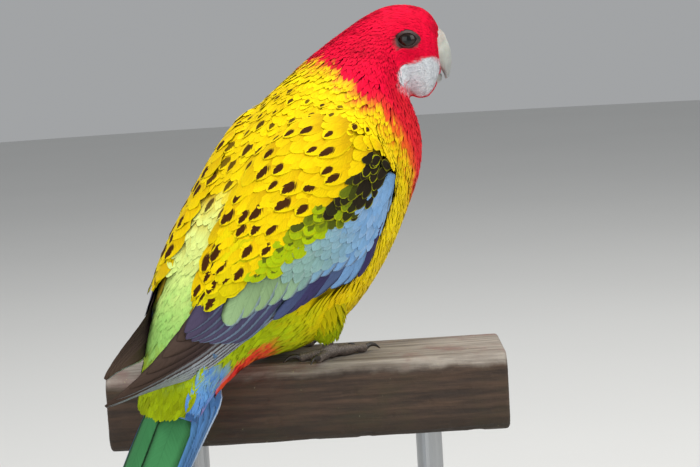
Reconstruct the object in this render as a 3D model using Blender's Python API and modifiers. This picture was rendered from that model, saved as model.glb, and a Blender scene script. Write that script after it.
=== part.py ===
"""Eastern rosella on a short cut length of timber rail, held by a plain display stand.

The bird is one lofted body parted by thin cuts into head, neck, trunk and rump, with wings, tail,
legs, feet, eyes and bill as pieces of their own. Sizes are in millimetres until a mesh is made.
Frame: +X is the way the trunk faces, +Y the bird's left, +Z up, and z = 0 the underside of the base.
"""
import math

import bmesh
import bpy
import numpy as np
from mathutils import Vector

MM = 0.001
GAP = 0.3  # clearance between neighbouring pieces

# ---- driving sizes -------------------------------------------------------------------------
RAIL_TOP = 146.0  # height of the perch's top above the floor
RAIL_TURN = math.radians(40.0)  # the rail runs this much to the right of the trunk's heading
RAIL_LENGTH, RAIL_DEPTH, RAIL_HEIGHT, RAIL_ROUND = 150.0, 48.0, 30.0, 8.0
RAIL_BACK = 2.0  # the rail's middle lies this far behind the feet
BASE_LENGTH, BASE_DEPTH, BASE_HEIGHT, BASE_ROUND = 150.0, 120.0, 12.0, 3.0
ROD_RADIUS, ROD_SPACING = 5.0, 90.0
RING_POINTS = 28  # points round the body

HEAD_TURN = math.radians(-40.0)  # the head looks to the bird's right
HEAD_CENTRE = np.array([51.0, -9.0, 115.0])  # above the feet
EYE_RADIUS, EYE_OUT, EYE_FORWARD, EYE_UP = 4.3, 10.6, 0.9, 2.1
FOOT_SPREAD, FOOT_FORWARD = 14.0, 0.0

# Body stations from the root of the tail to the neck. Centre x, y, z above the feet, the reach to
# the back, to the belly and to each side, then how far the section's axis tips up and turns left.
TRUNK_STATIONS = [
    (-68.5, 0.0, -10.3, 2.8, 13.0, 15.0, 62.0, 0.0),
    (-62.5, 0.0, 3.0, 6.0, 18.5, 17.5, 58.0, 0.0),
    (-51.0, 0.0, 18.0, 13.5, 25.0, 21.5, 49.0, 0.0),
    (-34.0, 0.0, 34.0, 20.5, 41.5, 27.5, 43.5, 0.0),
    (-17.0, 0.0, 50.0, 24.5, 50.0, 30.5, 43.0, 0.0),
    (-1.0, 0.0, 65.0, 27.0, 50.0, 32.0, 43.0, 0.0),
    (14.0, 0.0, 80.0, 26.5, 46.5, 30.5, 44.0, 0.0),
    (28.0, -0.5, 94.0, 23.2, 40.0, 26.5, 43.0, -6.0),
    (39.0, -3.0, 105.0, 19.7, 29.5, 21.0, 34.0, -20.0),
]
# Head stations along the way the bill points. Distance ahead of the head's centre, top and
# bottom above that centre, the half width, and how far the section's axis tips up.
HEAD_STATIONS = [
    (-1.0, 15.8, -20.5, 14.6, 8.0),
    (5.0, 15.0, -21.2, 13.4, 2.0),
    (9.4, 12.8, -19.8, 10.6, 0.0),
    (12.0, 9.8, -16.2, 7.6, 0.0),
    (13.6, 6.6, -12.0, 5.0, 0.0),
    (14.4, 4.4, -9.0, 3.2, 0.0),
]

# Cuts that part the body: a point on each, then how far its forward normal tips up and turns left.
RUMP_CUT = ((-49.0, 0.0, 20.0), 48.0, 0.0)
NECK_CUT = ((31.5, -1.0, 97.5), 42.0, -8.0)
HEAD_CUT = ((52.6, -9.0, 91.5), 33.0, -22.0)


def smooth_curve(knots, count, by_knot=False):
    """Catmull-Rom curve through the knots, whose speed follows their first three columns.

    Its points are evenly spaced, or with by_knot the same number lies between each two knots.
    """
    knots = np.asarray(knots, float)
    steps = np.linalg.norm(np.diff(knots[:, :3], axis=0), axis=1)
    at = np.concatenate([[0.0], np.cumsum(steps)])
    slopes = np.gradient(knots, at, axis=0)
    want = np.linspace(0.0, at[-1], count)
    if by_knot:
        want = np.interp(np.linspace(0.0, len(at) - 1.0, count), np.arange(len(at)), at)
    cell = np.clip(np.searchsorted(at, want, side="right") - 1, 0, len(at) - 2)
    span = (at[cell + 1] - at[cell])[:, None]
    t = (want - at[cell])[:, None] / span
    start, end = knots[cell], knots[cell + 1]
    rise, fall = slopes[cell] * span, slopes[cell + 1] * span
    return (
        start * (2 * t**3 - 3 * t**2 + 1)
        + rise * (t**3 - 2 * t**2 + t)
        + end * (3 * t**2 - 2 * t**3)
        + fall * (t**3 - t**2)
    )


def heading(tip, turn):
    """Unit vector that tips up and turns left from +X by these many degrees."""
    tip, turn = np.radians(tip), np.radians(turn)
    return np.stack([np.cos(tip) * np.cos(turn), np.cos(tip) * np.sin(turn), np.sin(tip)], axis=-1)


def head_axes():
    """Forward, left and up of the head, which is turned but level."""
    forward = np.array([math.cos(HEAD_TURN), math.sin(HEAD_TURN), 0.0])
    up = np.array([0.0, 0.0, 1.0])
    return forward, np.cross(up, forward), up


def on_head(ahead, left, above):
    """A point given in the head's own axes."""
    forward, side, up = head_axes()
    return HEAD_CENTRE + forward * ahead + side * left + up * above


def body_stations():
    """Trunk stations followed by the head's, all in the trunk's eight columns."""
    rows = list(TRUNK_STATIONS)
    for ahead, top, bottom, half, tip in HEAD_STATIONS:
        centre = on_head(ahead, 0.0, (top + bottom) / 2)
        reach = (top - bottom) / 2
        rows.append((*centre, reach, reach, half, tip, math.degrees(HEAD_TURN)))
    return rows


class Body:
    """The lofted body: a curved spine with an oval section at each point."""

    def __init__(self, rings):
        rows = smooth_curve(body_stations(), rings, by_knot=True)
        self.centre = rows[:, :3]
        self.reach = rows[:, 3:6]
        turn = np.radians(rows[:, 7])
        self.along = heading(rows[:, 6], rows[:, 7])
        self.side = np.stack([-np.sin(turn), np.cos(turn), 0.0 * turn], axis=1)
        self.back = np.cross(self.along, self.side)

    def rings(self, grow=0.0):
        """Every section as RING_POINTS points, each reach made larger by grow."""
        turn = np.linspace(0.0, 2 * math.pi, RING_POINTS, endpoint=False)
        across, upward = np.sin(turn), np.cos(turn)
        reach = self.reach + grow
        tall = np.where(upward > 0, reach[:, :1], reach[:, 1:2]) * upward
        wide = reach[:, 2:3] * across
        return (
            self.centre[:, None]
            + wide[..., None] * self.side[:, None]
            + tall[..., None] * self.back[:, None]
        )

    def cleared(self, points, height):
        """The points, moved out from the spine where they are less than height over the body."""
        flat = points.reshape(-1, 3)
        offset = flat[:, None] - self.centre[None]
        ahead = np.abs(np.sum(offset * self.along[None], axis=2))
        near = np.argmin(ahead + 0.05 * np.linalg.norm(offset, axis=2), axis=1)
        local = flat - self.centre[near]
        local -= np.sum(local * self.along[near], axis=1)[:, None] * self.along[near]
        wide = np.sum(local * self.side[near], axis=1)
        tall = np.sum(local * self.back[near], axis=1)
        reach = self.reach[near] + height.reshape(-1, 1)
        ratio = np.hypot(wide / reach[:, 2], tall / np.where(tall > 0, reach[:, 0], reach[:, 1]))
        push = np.maximum(1.0 / np.maximum(ratio, 1e-6) - 1.0, 0.0)
        return (flat + local * push[:, None]).reshape(points.shape)


# ---- making objects ------------------------------------------------------------------------
def clear_scene():
    for thing in list(bpy.data.objects):
        bpy.data.objects.remove(thing, do_unlink=True)


def collection(name):
    made = bpy.data.collections.new(name)
    bpy.context.scene.collection.children.link(made)
    return made


def finish(name, colour, roughness, metallic=0.0):
    """A plain Principled material."""
    material = bpy.data.materials.new(name)
    material.use_nodes = True
    shader = material.node_tree.nodes["Principled BSDF"]
    shader.inputs["Base Color"].default_value = (*colour, 1.0)
    shader.inputs["Roughness"].default_value = roughness
    shader.inputs["Metallic"].default_value = metallic
    return material


def loft_bmesh(rings):
    """Rings of points joined by quads and closed by a fan at each end."""
    rings = np.asarray(rings) * MM
    mesh = bmesh.new()
    rows = [[mesh.verts.new(point) for point in ring] for ring in rings]
    count = len(rows[0])
    for lower, upper in zip(rows, rows[1:]):
        for i in range(count):
            j = (i + 1) % count
            mesh.faces.new((lower[i], lower[j], upper[j], upper[i]))
    for row, ring in ((rows[0][::-1], rings[0]), (rows[-1], rings[-1])):
        tip = mesh.verts.new(ring.mean(axis=0))
        for i in range(count):
            mesh.faces.new((row[i], row[(i + 1) % count], tip))
    bmesh.ops.recalc_face_normals(mesh, faces=mesh.faces)
    return mesh


def add_object(name, mesh, material, home):
    """An object from a bmesh, smooth shaded, lifted so that z = 0 is the floor."""
    data = bpy.data.meshes.new(name)
    mesh.to_mesh(data)
    mesh.free()
    data.shade_smooth()
    thing = bpy.data.objects.new(name, data)
    thing.location.z = RAIL_TOP * MM
    if material:
        data.materials.append(material)
    home.objects.link(thing)
    return thing


def keep_side(mesh, point, normal):
    """Cut the mesh by a plane, drop what lies on the normal's side and close the cut."""
    whole = mesh.verts[:] + mesh.edges[:] + mesh.faces[:]
    cut = bmesh.ops.bisect_plane(
        mesh, geom=whole, plane_co=Vector(point) * MM, plane_no=Vector(normal), clear_outer=True
    )
    edges = [piece for piece in cut["geom_cut"] if isinstance(piece, bmesh.types.BMEdge)]
    bmesh.ops.contextual_create(mesh, geom=edges)
    bmesh.ops.triangulate(mesh, faces=[face for face in mesh.faces if len(face.verts) > 4])
    bmesh.ops.recalc_face_normals(mesh, faces=mesh.faces)


def part_between(name, body, start, stop, material, home):
    """The length of the body between two cuts, each set back by half the gap."""
    mesh = loft_bmesh(body.rings())
    for cut, outward in ((start, -1.0), (stop, 1.0)):
        if cut:
            point, tip, turn = cut
            normal = heading(tip, turn) * outward
            keep_side(mesh, np.array(point) - normal * GAP / 2, normal)
    return add_object(name, mesh, material, home)


def cut_away(target, cutter):
    """Take the cutter's volume from the target."""
    cutter.hide_render = True
    cutter.display_type = "WIRE"
    modifier = target.modifiers.new(cutter.name, "BOOLEAN")
    modifier.operation = "DIFFERENCE"
    modifier.solver = "EXACT"
    modifier.object = cutter


def ball(centre, radius, segments):
    mesh = bmesh.new()
    bmesh.ops.create_uvsphere(mesh, u_segments=segments, v_segments=segments // 2, radius=radius * MM)
    bmesh.ops.translate(mesh, verts=mesh.verts, vec=Vector(centre) * MM)
    return mesh


# ---- bill ----------------------------------------------------------------------------------
# Each half of the bill in profile, as points on its ridge and on its edge ahead of and above the
# head's centre, from the base to the tip, and its half width at each.
UPPER_ARC = [
    ((9.5, 7.0), (7.0, -7.0)),
    ((13.2, 5.6), (10.0, -7.4)),
    ((16.0, 2.6), (11.6, -8.2)),
    ((17.8, -2.0), (12.8, -9.2)),
    ((18.2, -6.4), (13.8, -10.2)),
    ((17.8, -10.2), (14.8, -12.0)),
    ((16.8, -13.6), (15.4, -14.2)),
]
UPPER_WIDTHS = (5.0, 5.9, 5.7, 4.8, 3.6, 2.4, 1.1)
LOWER_ARC = [
    ((7.0, -9.0), (7.0, -15.5)),
    ((10.0, -9.6), (10.0, -16.0)),
    ((12.4, -10.8), (12.2, -15.8)),
    ((14.1, -12.4), (13.8, -14.8)),
]
LOWER_WIDTHS = (4.2, 4.6, 4.0, 2.6)
BILL = {"upper_bill": (UPPER_ARC, UPPER_WIDTHS), "lower_bill": (LOWER_ARC, LOWER_WIDTHS)}


def bill_rings(arc, widths, grow, count=12):
    """Oval sections along a curved ridge, each given by its ridge and edge points in profile."""
    rings = []
    turn = np.linspace(0.0, 2 * math.pi, count, endpoint=False)
    for (ridge, edge), half in zip(arc, widths):
        ridge, edge = np.array(ridge, float), np.array(edge, float)
        middle, reach = (ridge + edge) / 2, (ridge - edge) / 2
        length = np.linalg.norm(reach)
        reach = reach * (1 + grow / length)
        ring = [
            on_head(*(middle[0] + reach[0] * c, (half + grow) * s, middle[1] + reach[1] * c))
            for s, c in zip(np.sin(turn), np.cos(turn))
        ]
        rings.append(ring)
    return rings


# ---- wings ---------------------------------------------------------------------------------
# Right wing: its upper and lower edge from the bend to the tip, and for each the way back.
WING_UPPER = [
    (19.0, -27.0, 72.0), (8.0, -20.0, 87.5), (-18.0, -14.0, 81.0), (-44.0, -11.0, 56.0),
    (-60.0, -11.0, 31.0), (-75.5, -10.0, 16.0), (-88.0, -8.0, 6.5), (-97.0, -5.5, 0.0),
]
WING_LOWER = [
    (20.0, -28.0, 66.0), (15.5, -31.0, 54.0), (10.0, -31.0, 41.0), (1.0, -31.5, 33.0),
    (-16.0, -30.0, 27.0), (-31.0, -26.5, 19.0), (-50.0, -21.0, 9.5), (-74.0, -12.0, 1.0),
    (-93.0, -5.5, -4.5),
]
WING_BOW = 7.0
WING_RINGS, WING_RING_POINTS = 22, 16
WING_THICK, WING_TIP_THICK = 3.2, 1.0
WING_LIFT = 1.35
# How far the left wing is held in towards the back, over a mirror of the right wing.
LEFT_WING_SHIFT = (2.5, -2.5, -0.5)
# How much farther its tip stands out and up.
LEFT_WING_TIP = (2.5, 0.5, 8.5)


def wing_sheet(u, v, thick, side):
    """Points of the wing: ruled between its edges, bowed outwards, and kept off the body."""
    upper, lower = smooth_curve(WING_UPPER, len(u)), smooth_curve(WING_LOWER, len(u))
    sheet = upper[:, None] * (1 - v)[..., None] + lower[:, None] * v[..., None]
    along = np.gradient((upper + lower) / 2, axis=0)
    out = np.cross(along, lower - upper)
    out /= np.maximum(np.linalg.norm(out, axis=1), 1e-9)[:, None]
    out *= -np.sign(out[:, 1:2])
    bow = WING_BOW * (1 - u) ** 0.5 * np.sin(math.pi * np.clip(u * 4, 0, 0.5))
    sheet = sheet + (bow[:, None] * 4 * v * (1 - v) + thick)[..., None] * out[:, None]
    share = np.clip((u - 0.45) / 0.55, 0.0, 1.0)
    rise = share * share * (3.0 - 2.0 * share)
    moved = np.array(LEFT_WING_SHIFT) + rise[:, None] * np.array(LEFT_WING_TIP)
    return sheet * [1.0, side, 1.0] + moved[:, None] * (side < 0)


def wing_rings(body, side):
    """Lens sections from the bend to the tip, the inner face just clear of the body."""
    u = np.linspace(0.0, 1.0, WING_RINGS)
    turn = np.linspace(0.0, 2 * math.pi, WING_RING_POINTS, endpoint=False)
    v = np.broadcast_to((1 - np.cos(turn)) / 2, (len(u), len(turn)))
    half = (WING_THICK + (WING_TIP_THICK - WING_THICK) * u) / 2
    lens = half[:, None] * np.sin(turn)[None]
    points = wing_sheet(u, v, lens, side)
    return body.cleared(points, WING_LIFT + half[:, None] + lens)


# ---- tail ----------------------------------------------------------------------------------
TAIL_ROOT = np.array([-68.9, 0.0, -11.1])
TAIL_SLOPE = math.radians(-60.0)
TAIL_ROLL = math.radians(12.0)  # the fan's right edge hangs lower than its left
# Distance from the root, half width, reach above and below the vanes, droop of the edges.
TAIL_STATIONS = [
    (0.0, 14.8, 2.0, 9.0, 7.0), (16.0, 15.2, 1.7, 5.5, 5.4), (34.0, 15.6, 1.5, 2.4, 4.2),
    (55.0, 15.6, 1.4, 1.3, 3.2), (75.0, 15.0, 1.3, 1.2, 2.4), (95.0, 12.4, 1.1, 1.1, 1.7),
    (112.0, 9.0, 0.9, 0.9, 1.0), (124.0, 5.5, 0.8, 0.8, 0.4), (130.0, 2.5, 0.6, 0.6, 0.1),
]
TAIL_RINGS, TAIL_RING_POINTS = 16, 16


def tail_rings():
    rows = smooth_curve(TAIL_STATIONS, TAIL_RINGS)
    along = np.array([-math.cos(TAIL_SLOPE), 0.0, math.sin(TAIL_SLOPE)])
    upright = np.array([math.sin(TAIL_SLOPE), 0.0, math.cos(TAIL_SLOPE)])
    left = np.array([0.0, 1.0, 0.0])
    back = upright * math.cos(TAIL_ROLL) - left * math.sin(TAIL_ROLL)
    left = left * math.cos(TAIL_ROLL) + upright * math.sin(TAIL_ROLL)
    turn = np.linspace(0.0, 2 * math.pi, TAIL_RING_POINTS, endpoint=False)
    wide = rows[:, 1:2] * np.sin(turn)[None]
    upward = np.cos(turn)[None]
    tall = np.where(upward > 0, rows[:, 2:3], rows[:, 3:4]) * upward
    tall = tall - rows[:, 4:5] * np.sin(turn)[None] ** 2
    return (
        TAIL_ROOT
        + rows[:, :1, None] * along
        + wide[..., None] * left
        + tall[..., None] * back
    )


# ---- legs and feet -------------------------------------------------------------------------
# Each toe's turn outwards from straight ahead in degrees, its length and its radius at the root.
# Two toes point forward and two back, as on every parrot.
TOES = [(9.0, 17.0, 2.1), (-16.0, 13.0, 2.0), (158.0, 9.5, 1.9), (-160.0, 13.0, 2.0)]
CLAW_LENGTH = 5.5


def tube_rings(path, radii, count=8):
    """Round sections along a path, which starts either flat or upright and stays near that."""
    path = np.asarray(path, float)
    along = np.gradient(path, axis=0)
    along /= np.linalg.norm(along, axis=1)[:, None]
    guide = np.array([0.0, 0.0, 1.0]) if abs(along[0][2]) < 0.8 else np.array([1.0, 0.0, 0.0])
    side = np.cross(guide, along)
    side /= np.linalg.norm(side, axis=1)[:, None]
    rise = np.cross(along, side)
    turn = np.linspace(0.0, 2 * math.pi, count, endpoint=False)
    ring = np.cos(turn)[None, :, None] * side[:, None] + np.sin(turn)[None, :, None] * rise[:, None]
    return path[:, None] + np.asarray(radii, float)[:, None, None] * ring


def toe_rings(centre, heading, length, radius):
    """A toe that lies flat on the perch and ends in a claw that curves down to it."""
    share = np.array([0.0, 0.25, 0.5, 0.75, 0.95])
    reach = np.concatenate([share * length, length + CLAW_LENGTH * np.array([0.35, 0.75, 1.0])])
    radii = np.concatenate([radius * (1 - 0.35 * share), [0.95, 0.7, 0.35]])
    height = np.concatenate([radius * (1 - 0.35 * share), [1.7, 1.3, 0.45]]) + GAP
    step = np.array([math.cos(heading), math.sin(heading), 0.0])
    path = centre + reach[:, None] * step + height[:, None] * np.array([0.0, 0.0, 1.0])
    return tube_rings(path, radii)


def join(parts, name, home, cutters):
    """Union of closed pieces: the first takes in the others."""
    first, *rest = parts
    for other in rest:
        for coll in list(other.users_collection):
            coll.objects.unlink(other)
        cutters.objects.link(other)
        other.hide_render = True
        other.display_type = "WIRE"
        modifier = first.modifiers.new(other.name, "BOOLEAN")
        modifier.operation = "UNION"
        modifier.solver = "EXACT"
        modifier.object = other
    first.name = name
    return first


def make_foot(side_name, side, material, home, cutters):
    centre = np.array([FOOT_FORWARD, FOOT_SPREAD * side, 0.0])
    pad = np.array([[-3.5, 0, 2.2], [0, 0, 2.9], [3.5, 0, 2.4]]) + centre
    pad_mesh = loft_bmesh(tube_rings(pad, (1.6, 2.6, 1.8)))
    parts = [add_object("foot_" + side_name, pad_mesh, material, home)]
    for index, (fan, length, radius) in enumerate(TOES):
        rings = toe_rings(centre, math.radians(fan) * side, length, radius)
        parts.append(add_object(f"toe_{side_name}_{index}", loft_bmesh(rings), None, home))
    return join(parts, "foot_" + side_name, home, cutters)


def make_leg(side_name, side, material, home, cutters, body_cutter):
    """Feathered thigh over a short bare shank, ending just above the foot."""
    centre = np.array([FOOT_FORWARD, FOOT_SPREAD * side, 0.0])
    path = np.array([[-3.0, 0, 22.0], [-2.0, 0, 15.0], [-1.0, 0, 10.5], [-0.5, 0, 8.0], [0.0, 0, 6.2]])
    rings = tube_rings(path + centre, (5.0, 5.2, 4.0, 2.4, 1.8), 12)
    leg = add_object("leg_" + side_name, loft_bmesh(rings), material, home)
    cut_away(leg, body_cutter)
    return leg


# ---- perch and stand -----------------------------------------------------------------------
def block(name, size, middle, rounding, material, home):
    """A block with rounded edges, its length along the rail."""
    mesh = bmesh.new()
    bmesh.ops.create_cube(mesh, size=1.0)
    bmesh.ops.scale(mesh, vec=Vector(size) * MM, verts=mesh.verts)
    thing = add_object(name, mesh, material, home)
    thing.location = Vector(middle) * MM
    thing.rotation_euler.z = -RAIL_TURN
    bevel = thing.modifiers.new("rounded", "BEVEL")
    bevel.width = rounding * MM
    bevel.segments = 3
    return thing


def rod(name, place, bottom, top, material, home):
    bpy.ops.mesh.primitive_cylinder_add(
        vertices=24,
        radius=ROD_RADIUS * MM,
        depth=(top - bottom) * MM,
        location=(place[0] * MM, place[1] * MM, (top + bottom) / 2 * MM),
    )
    thing = bpy.context.object
    thing.name = name
    thing.data.materials.append(material)
    for coll in list(thing.users_collection):
        coll.objects.unlink(thing)
    home.objects.link(thing)
    return thing


def main():
    clear_scene()
    home = collection("rosella")
    cutters = collection("cutters")
    red = finish("red_plumage", (0.75, 0.02, 0.03), 0.7)
    yellow = finish("yellow_plumage", (0.85, 0.65, 0.02), 0.7)
    blue = finish("wing_plumage", (0.2, 0.35, 0.7), 0.6)
    green = finish("tail_plumage", (0.1, 0.4, 0.2), 0.6)
    horn = finish("bill_horn", (0.72, 0.74, 0.70), 0.4)
    dark = finish("eye_dark", (0.02, 0.012, 0.01), 0.08)
    skin = finish("foot_skin", (0.30, 0.28, 0.28), 0.6)
    timber = finish("weathered_timber", (0.20, 0.16, 0.13), 0.85)
    stand = finish("stand_paint", (0.09, 0.09, 0.09), 0.5)
    metal = finish("stand_steel", (0.6, 0.6, 0.6), 0.35, 1.0)

    body = Body(4 * 14 + 1)
    part_between("rump", body, None, RUMP_CUT, green, home)
    part_between("trunk", body, RUMP_CUT, NECK_CUT, yellow, home)
    part_between("neck", body, NECK_CUT, HEAD_CUT, red, home)
    head = part_between("head", body, HEAD_CUT, None, red, home)

    for name, side in (("left", 1.0), ("right", -1.0)):
        centre = on_head(EYE_FORWARD, EYE_OUT * side, EYE_UP)
        add_object("eye_" + name, ball(centre, EYE_RADIUS, 16), dark, home)
        cut_away(head, add_object("socket_" + name, ball(centre, EYE_RADIUS + GAP, 16), None, cutters))
    for name, (arc, widths) in BILL.items():
        add_object(name, loft_bmesh(bill_rings(arc, widths, 0.0)), horn, home)
        seat = add_object(name + "_seat", loft_bmesh(bill_rings(arc, widths, GAP)), None, cutters)
        cut_away(head, seat)

    clear_body = Body(150)
    for name, side in (("left", 1.0), ("right", -1.0)):
        mesh = loft_bmesh(wing_rings(clear_body, -side))
        add_object("wing_" + name, mesh, blue, home)

    add_object("tail", loft_bmesh(tail_rings()), green, home)
    body_cutter = add_object("body_room", loft_bmesh(body.rings(GAP)), None, cutters)
    body_cutter.hide_render = True
    body_cutter.display_type = "WIRE"
    for name, side in (("left", 1.0), ("right", -1.0)):
        make_leg(name, side, yellow, home, cutters, body_cutter)
        make_foot(name, side, skin, home, cutters)

    back = (RAIL_BACK * math.sin(RAIL_TURN), RAIL_BACK * math.cos(RAIL_TURN))
    rail_size = (RAIL_LENGTH, RAIL_DEPTH, RAIL_HEIGHT)
    block("perch", rail_size, (*back, RAIL_TOP - RAIL_HEIGHT / 2), RAIL_ROUND, timber, home)
    base_size = (BASE_LENGTH, BASE_DEPTH, BASE_HEIGHT)
    block("stand_base", base_size, (0.0, 0.0, BASE_HEIGHT / 2), BASE_ROUND, stand, home)
    for name, shift in (("stand_rod_a", -ROD_SPACING / 2), ("stand_rod_b", ROD_SPACING / 2)):
        place = (shift * math.cos(RAIL_TURN), -shift * math.sin(RAIL_TURN))
        rod(name, place, BASE_HEIGHT + GAP, RAIL_TOP - RAIL_HEIGHT - GAP, metal, home)


main()
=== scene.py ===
"""Looks of an eastern rosella on a short cut length of timber rail, held by a plain display stand.

Lengths are millimetres in the bird's own frame until a mesh is made. Its origin is on top of the
rail between the feet, +X is the way the trunk faces, +Y the bird's left and +Z up. A mesh is made
in metres and lifted so that z = 0 is the underside of the stand's base.
"""

import logging
import math
from dataclasses import Field, dataclass, field
from enum import Enum

import bpy
import numpy as np
from mathutils import Matrix, Vector


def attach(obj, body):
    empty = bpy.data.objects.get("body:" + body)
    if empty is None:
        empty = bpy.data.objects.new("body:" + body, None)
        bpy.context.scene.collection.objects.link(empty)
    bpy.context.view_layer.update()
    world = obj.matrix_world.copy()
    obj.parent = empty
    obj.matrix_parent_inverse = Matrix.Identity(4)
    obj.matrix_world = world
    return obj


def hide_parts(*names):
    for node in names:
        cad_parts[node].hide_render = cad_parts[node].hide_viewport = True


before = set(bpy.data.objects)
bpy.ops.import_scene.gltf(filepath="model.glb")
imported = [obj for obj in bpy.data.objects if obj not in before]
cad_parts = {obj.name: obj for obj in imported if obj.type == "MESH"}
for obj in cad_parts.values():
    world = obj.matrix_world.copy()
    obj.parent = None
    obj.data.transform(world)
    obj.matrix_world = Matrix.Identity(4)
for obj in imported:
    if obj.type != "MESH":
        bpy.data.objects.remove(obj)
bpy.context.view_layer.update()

Array = np.ndarray
Chance = np.random.Generator
Material = bpy.types.Material
Socket = bpy.types.NodeSocket
Thing = bpy.types.Object
log = logging.getLogger("rosella")

MM = 0.001
PERCH_TOP = 146.0
UP = np.array([0.0, 0.0, 1.0])
GOLDEN_STEPS = (0.7548776662, 0.5698402910)
VANE_AREA = 0.72  # a vane's area over its length times its width
FINE_PATCH, WIDE_PATCH = 0.003, 0.008  # sizes of a small feather's place on its piece's map
FLAT_ROUNDS = 40  # rounds of averaging that take the body's bumps out of a wing's sheet
SCATTER_GRID, WING_GRID, THIGH_GRID = (240, 240), (160, 160), (60, 90)
SIDES = (("left", 1), ("right", -1))


# ---- numbers -------------------------------------------------------------------------------
def srgb(red: float, green: float, blue: float) -> Array:
    """Linear colour from display values of 0 to 255."""
    share = np.array([red, green, blue]) / 255.0
    return np.where(share <= 0.04045, share / 12.92, ((share + 0.055) / 1.055) ** 2.4)


def unit(vectors: Array) -> Array:
    """Vectors divided by their own length."""
    return vectors / np.maximum(np.linalg.norm(vectors, axis=-1, keepdims=True), 1e-9)


def smooth(low: float, high: float, value: Array) -> Array:
    """Rises from 0 at low to 1 at high as 3x^2 - 2x^3, level on both sides."""
    share = np.clip((value - low) / (high - low), 0.0, 1.0)
    return share * share * (3.0 - 2.0 * share)


def blend(first: Array, second: Array, share: Array) -> Array:
    """First where share is 0 and second where it is 1, colour by colour."""
    share = np.asarray(share)[..., None]
    return first * (1.0 - share) + second * share


def stack(count: int, *columns: Array | float) -> Array:
    """A table from its columns, each given as a list or as one number for all its rows."""
    return np.stack([np.broadcast_to(np.asarray(column, float), (count,)) for column in columns], axis=1)


def ripple(places: Array, pitch: float, seed: int) -> Array:
    """Smooth uneven pattern of about -1 to 1: a sum of six sine waves in fixed random directions.

    Args:
        places: (..., 3) points.
        pitch: rough distance between one swell and the next, in the same unit.
        seed: picks the directions.

    Returns:
        one number for each point.
    """
    chance = np.random.default_rng(seed)
    total = np.zeros(places.shape[:-1])
    for _ in range(6):
        wave = unit(chance.normal(size=3)) * chance.uniform(0.7, 1.6) * 2 * math.pi / pitch
        total = total + np.sin(places @ wave + chance.uniform(0.0, 2 * math.pi))
    return total / 2.6


def smooth_curve(knots: Array, count: int, by_knot: bool = False) -> Array:
    """Cubic through knots, read at even steps of its length, or at even steps of the knots' numbers.

    Each span is the cubic that leaves one knot and meets the next with the slopes found by central
    differences over the distance between knots.

    Args:
        knots: rows whose first three numbers are a point; the others are carried along.
        count: rows to read.
        by_knot: steps evenly from knot to knot and not along the length.

    Returns:
        count rows.
    """
    knots = np.asarray(knots, float)
    steps = np.linalg.norm(np.diff(knots[:, :3], axis=0), axis=1)
    at = np.concatenate([[0.0], np.cumsum(steps)])
    slopes = np.gradient(knots, at, axis=0)
    want = np.linspace(0.0, at[-1], count)
    if by_knot:
        want = np.interp(np.linspace(0.0, len(at) - 1.0, count), np.arange(len(at)), at)
    cell = np.clip(np.searchsorted(at, want, side="right") - 1, 0, len(at) - 2)
    span = (at[cell + 1] - at[cell])[:, None]
    t = (want - at[cell])[:, None] / span
    rise, fall = slopes[cell] * span, slopes[cell + 1] * span
    return (
        knots[cell] * (2 * t**3 - 3 * t**2 + 1)
        + rise * (t**3 - 2 * t**2 + t)
        + knots[cell + 1] * (3 * t**2 - 2 * t**3)
        + fall * (t**3 - t**2)
    )


# ---- meshes --------------------------------------------------------------------------------
def make_mesh(name: str, points: Array, faces: list[Array]) -> Thing:
    """A smooth shaded mesh object in metres with its place in its mesh.

    Args:
        name: the piece's name.
        points: (n, 3) places in the bird's frame.
        faces: arrays of vertex numbers, each (m, corners).

    Returns:
        the object, linked to the scene.
    """
    mesh = bpy.data.meshes.new(name)
    places = (points.reshape(-1, 3) + UP * PERCH_TOP) * MM
    corners = np.concatenate([part.ravel() for part in faces]).astype(np.int32)
    sizes = np.concatenate([np.full(len(part), part.shape[1]) for part in faces])
    starts = np.concatenate([[0], np.cumsum(sizes)[:-1]]).astype(np.int32)
    mesh.vertices.add(len(places))
    mesh.vertices.foreach_set("co", places.astype(np.float32).ravel())
    mesh.loops.add(len(corners))
    mesh.loops.foreach_set("vertex_index", corners)
    mesh.polygons.add(len(sizes))
    mesh.polygons.foreach_set("loop_start", starts)
    mesh.update(calc_edges=True)
    mesh.validate()
    mesh.shade_smooth()
    thing = bpy.data.objects.new(name, mesh)
    bpy.context.scene.collection.objects.link(thing)
    return thing


def paint(thing: Thing, name: str, values: Array) -> None:
    """Puts one colour (four numbers) or vector (three numbers) on each vertex under this name."""
    flat = values.reshape(-1, values.shape[-1]).astype(np.float32)
    kind, key = ("FLOAT_COLOR", "color") if flat.shape[1] == 4 else ("FLOAT_VECTOR", "vector")
    layer = thing.data.attributes.new(name, kind, "POINT")
    layer.data.foreach_set(key, flat.ravel())


def inked(colours: Array, strength: Array | float = 1.0) -> Array:
    """Colours with their strength as a fourth number."""
    shape = np.broadcast_shapes(np.shape(colours)[:-1], np.shape(strength))
    strength = np.broadcast_to(np.asarray(strength, float), shape)[..., None]
    return np.concatenate([np.broadcast_to(colours, (*shape, 3)), strength], axis=-1)


def tinted(thing: Thing, tint: Array, finish: Material) -> Thing:
    """The piece with its material and its tint, one colour or one for each vertex."""
    paint(thing, "tint", inked(np.broadcast_to(tint, (len(thing.data.vertices), 3))))
    thing.data.materials.append(finish)
    return thing


def places_of(thing: Thing) -> Array:
    """The vertices' places in the bird's frame."""
    flat = np.zeros(len(thing.data.vertices) * 3)
    thing.data.vertices.foreach_get("co", flat)
    return flat.reshape(-1, 3) / MM - UP * PERCH_TOP


def capped(rings: Array) -> Array:
    """Values of a closed tube's points from those of its rings: the rings' and each end's mean."""
    return np.concatenate([rings.reshape(-1, rings.shape[-1]), rings[[0, -1]].mean(axis=1)])


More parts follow.
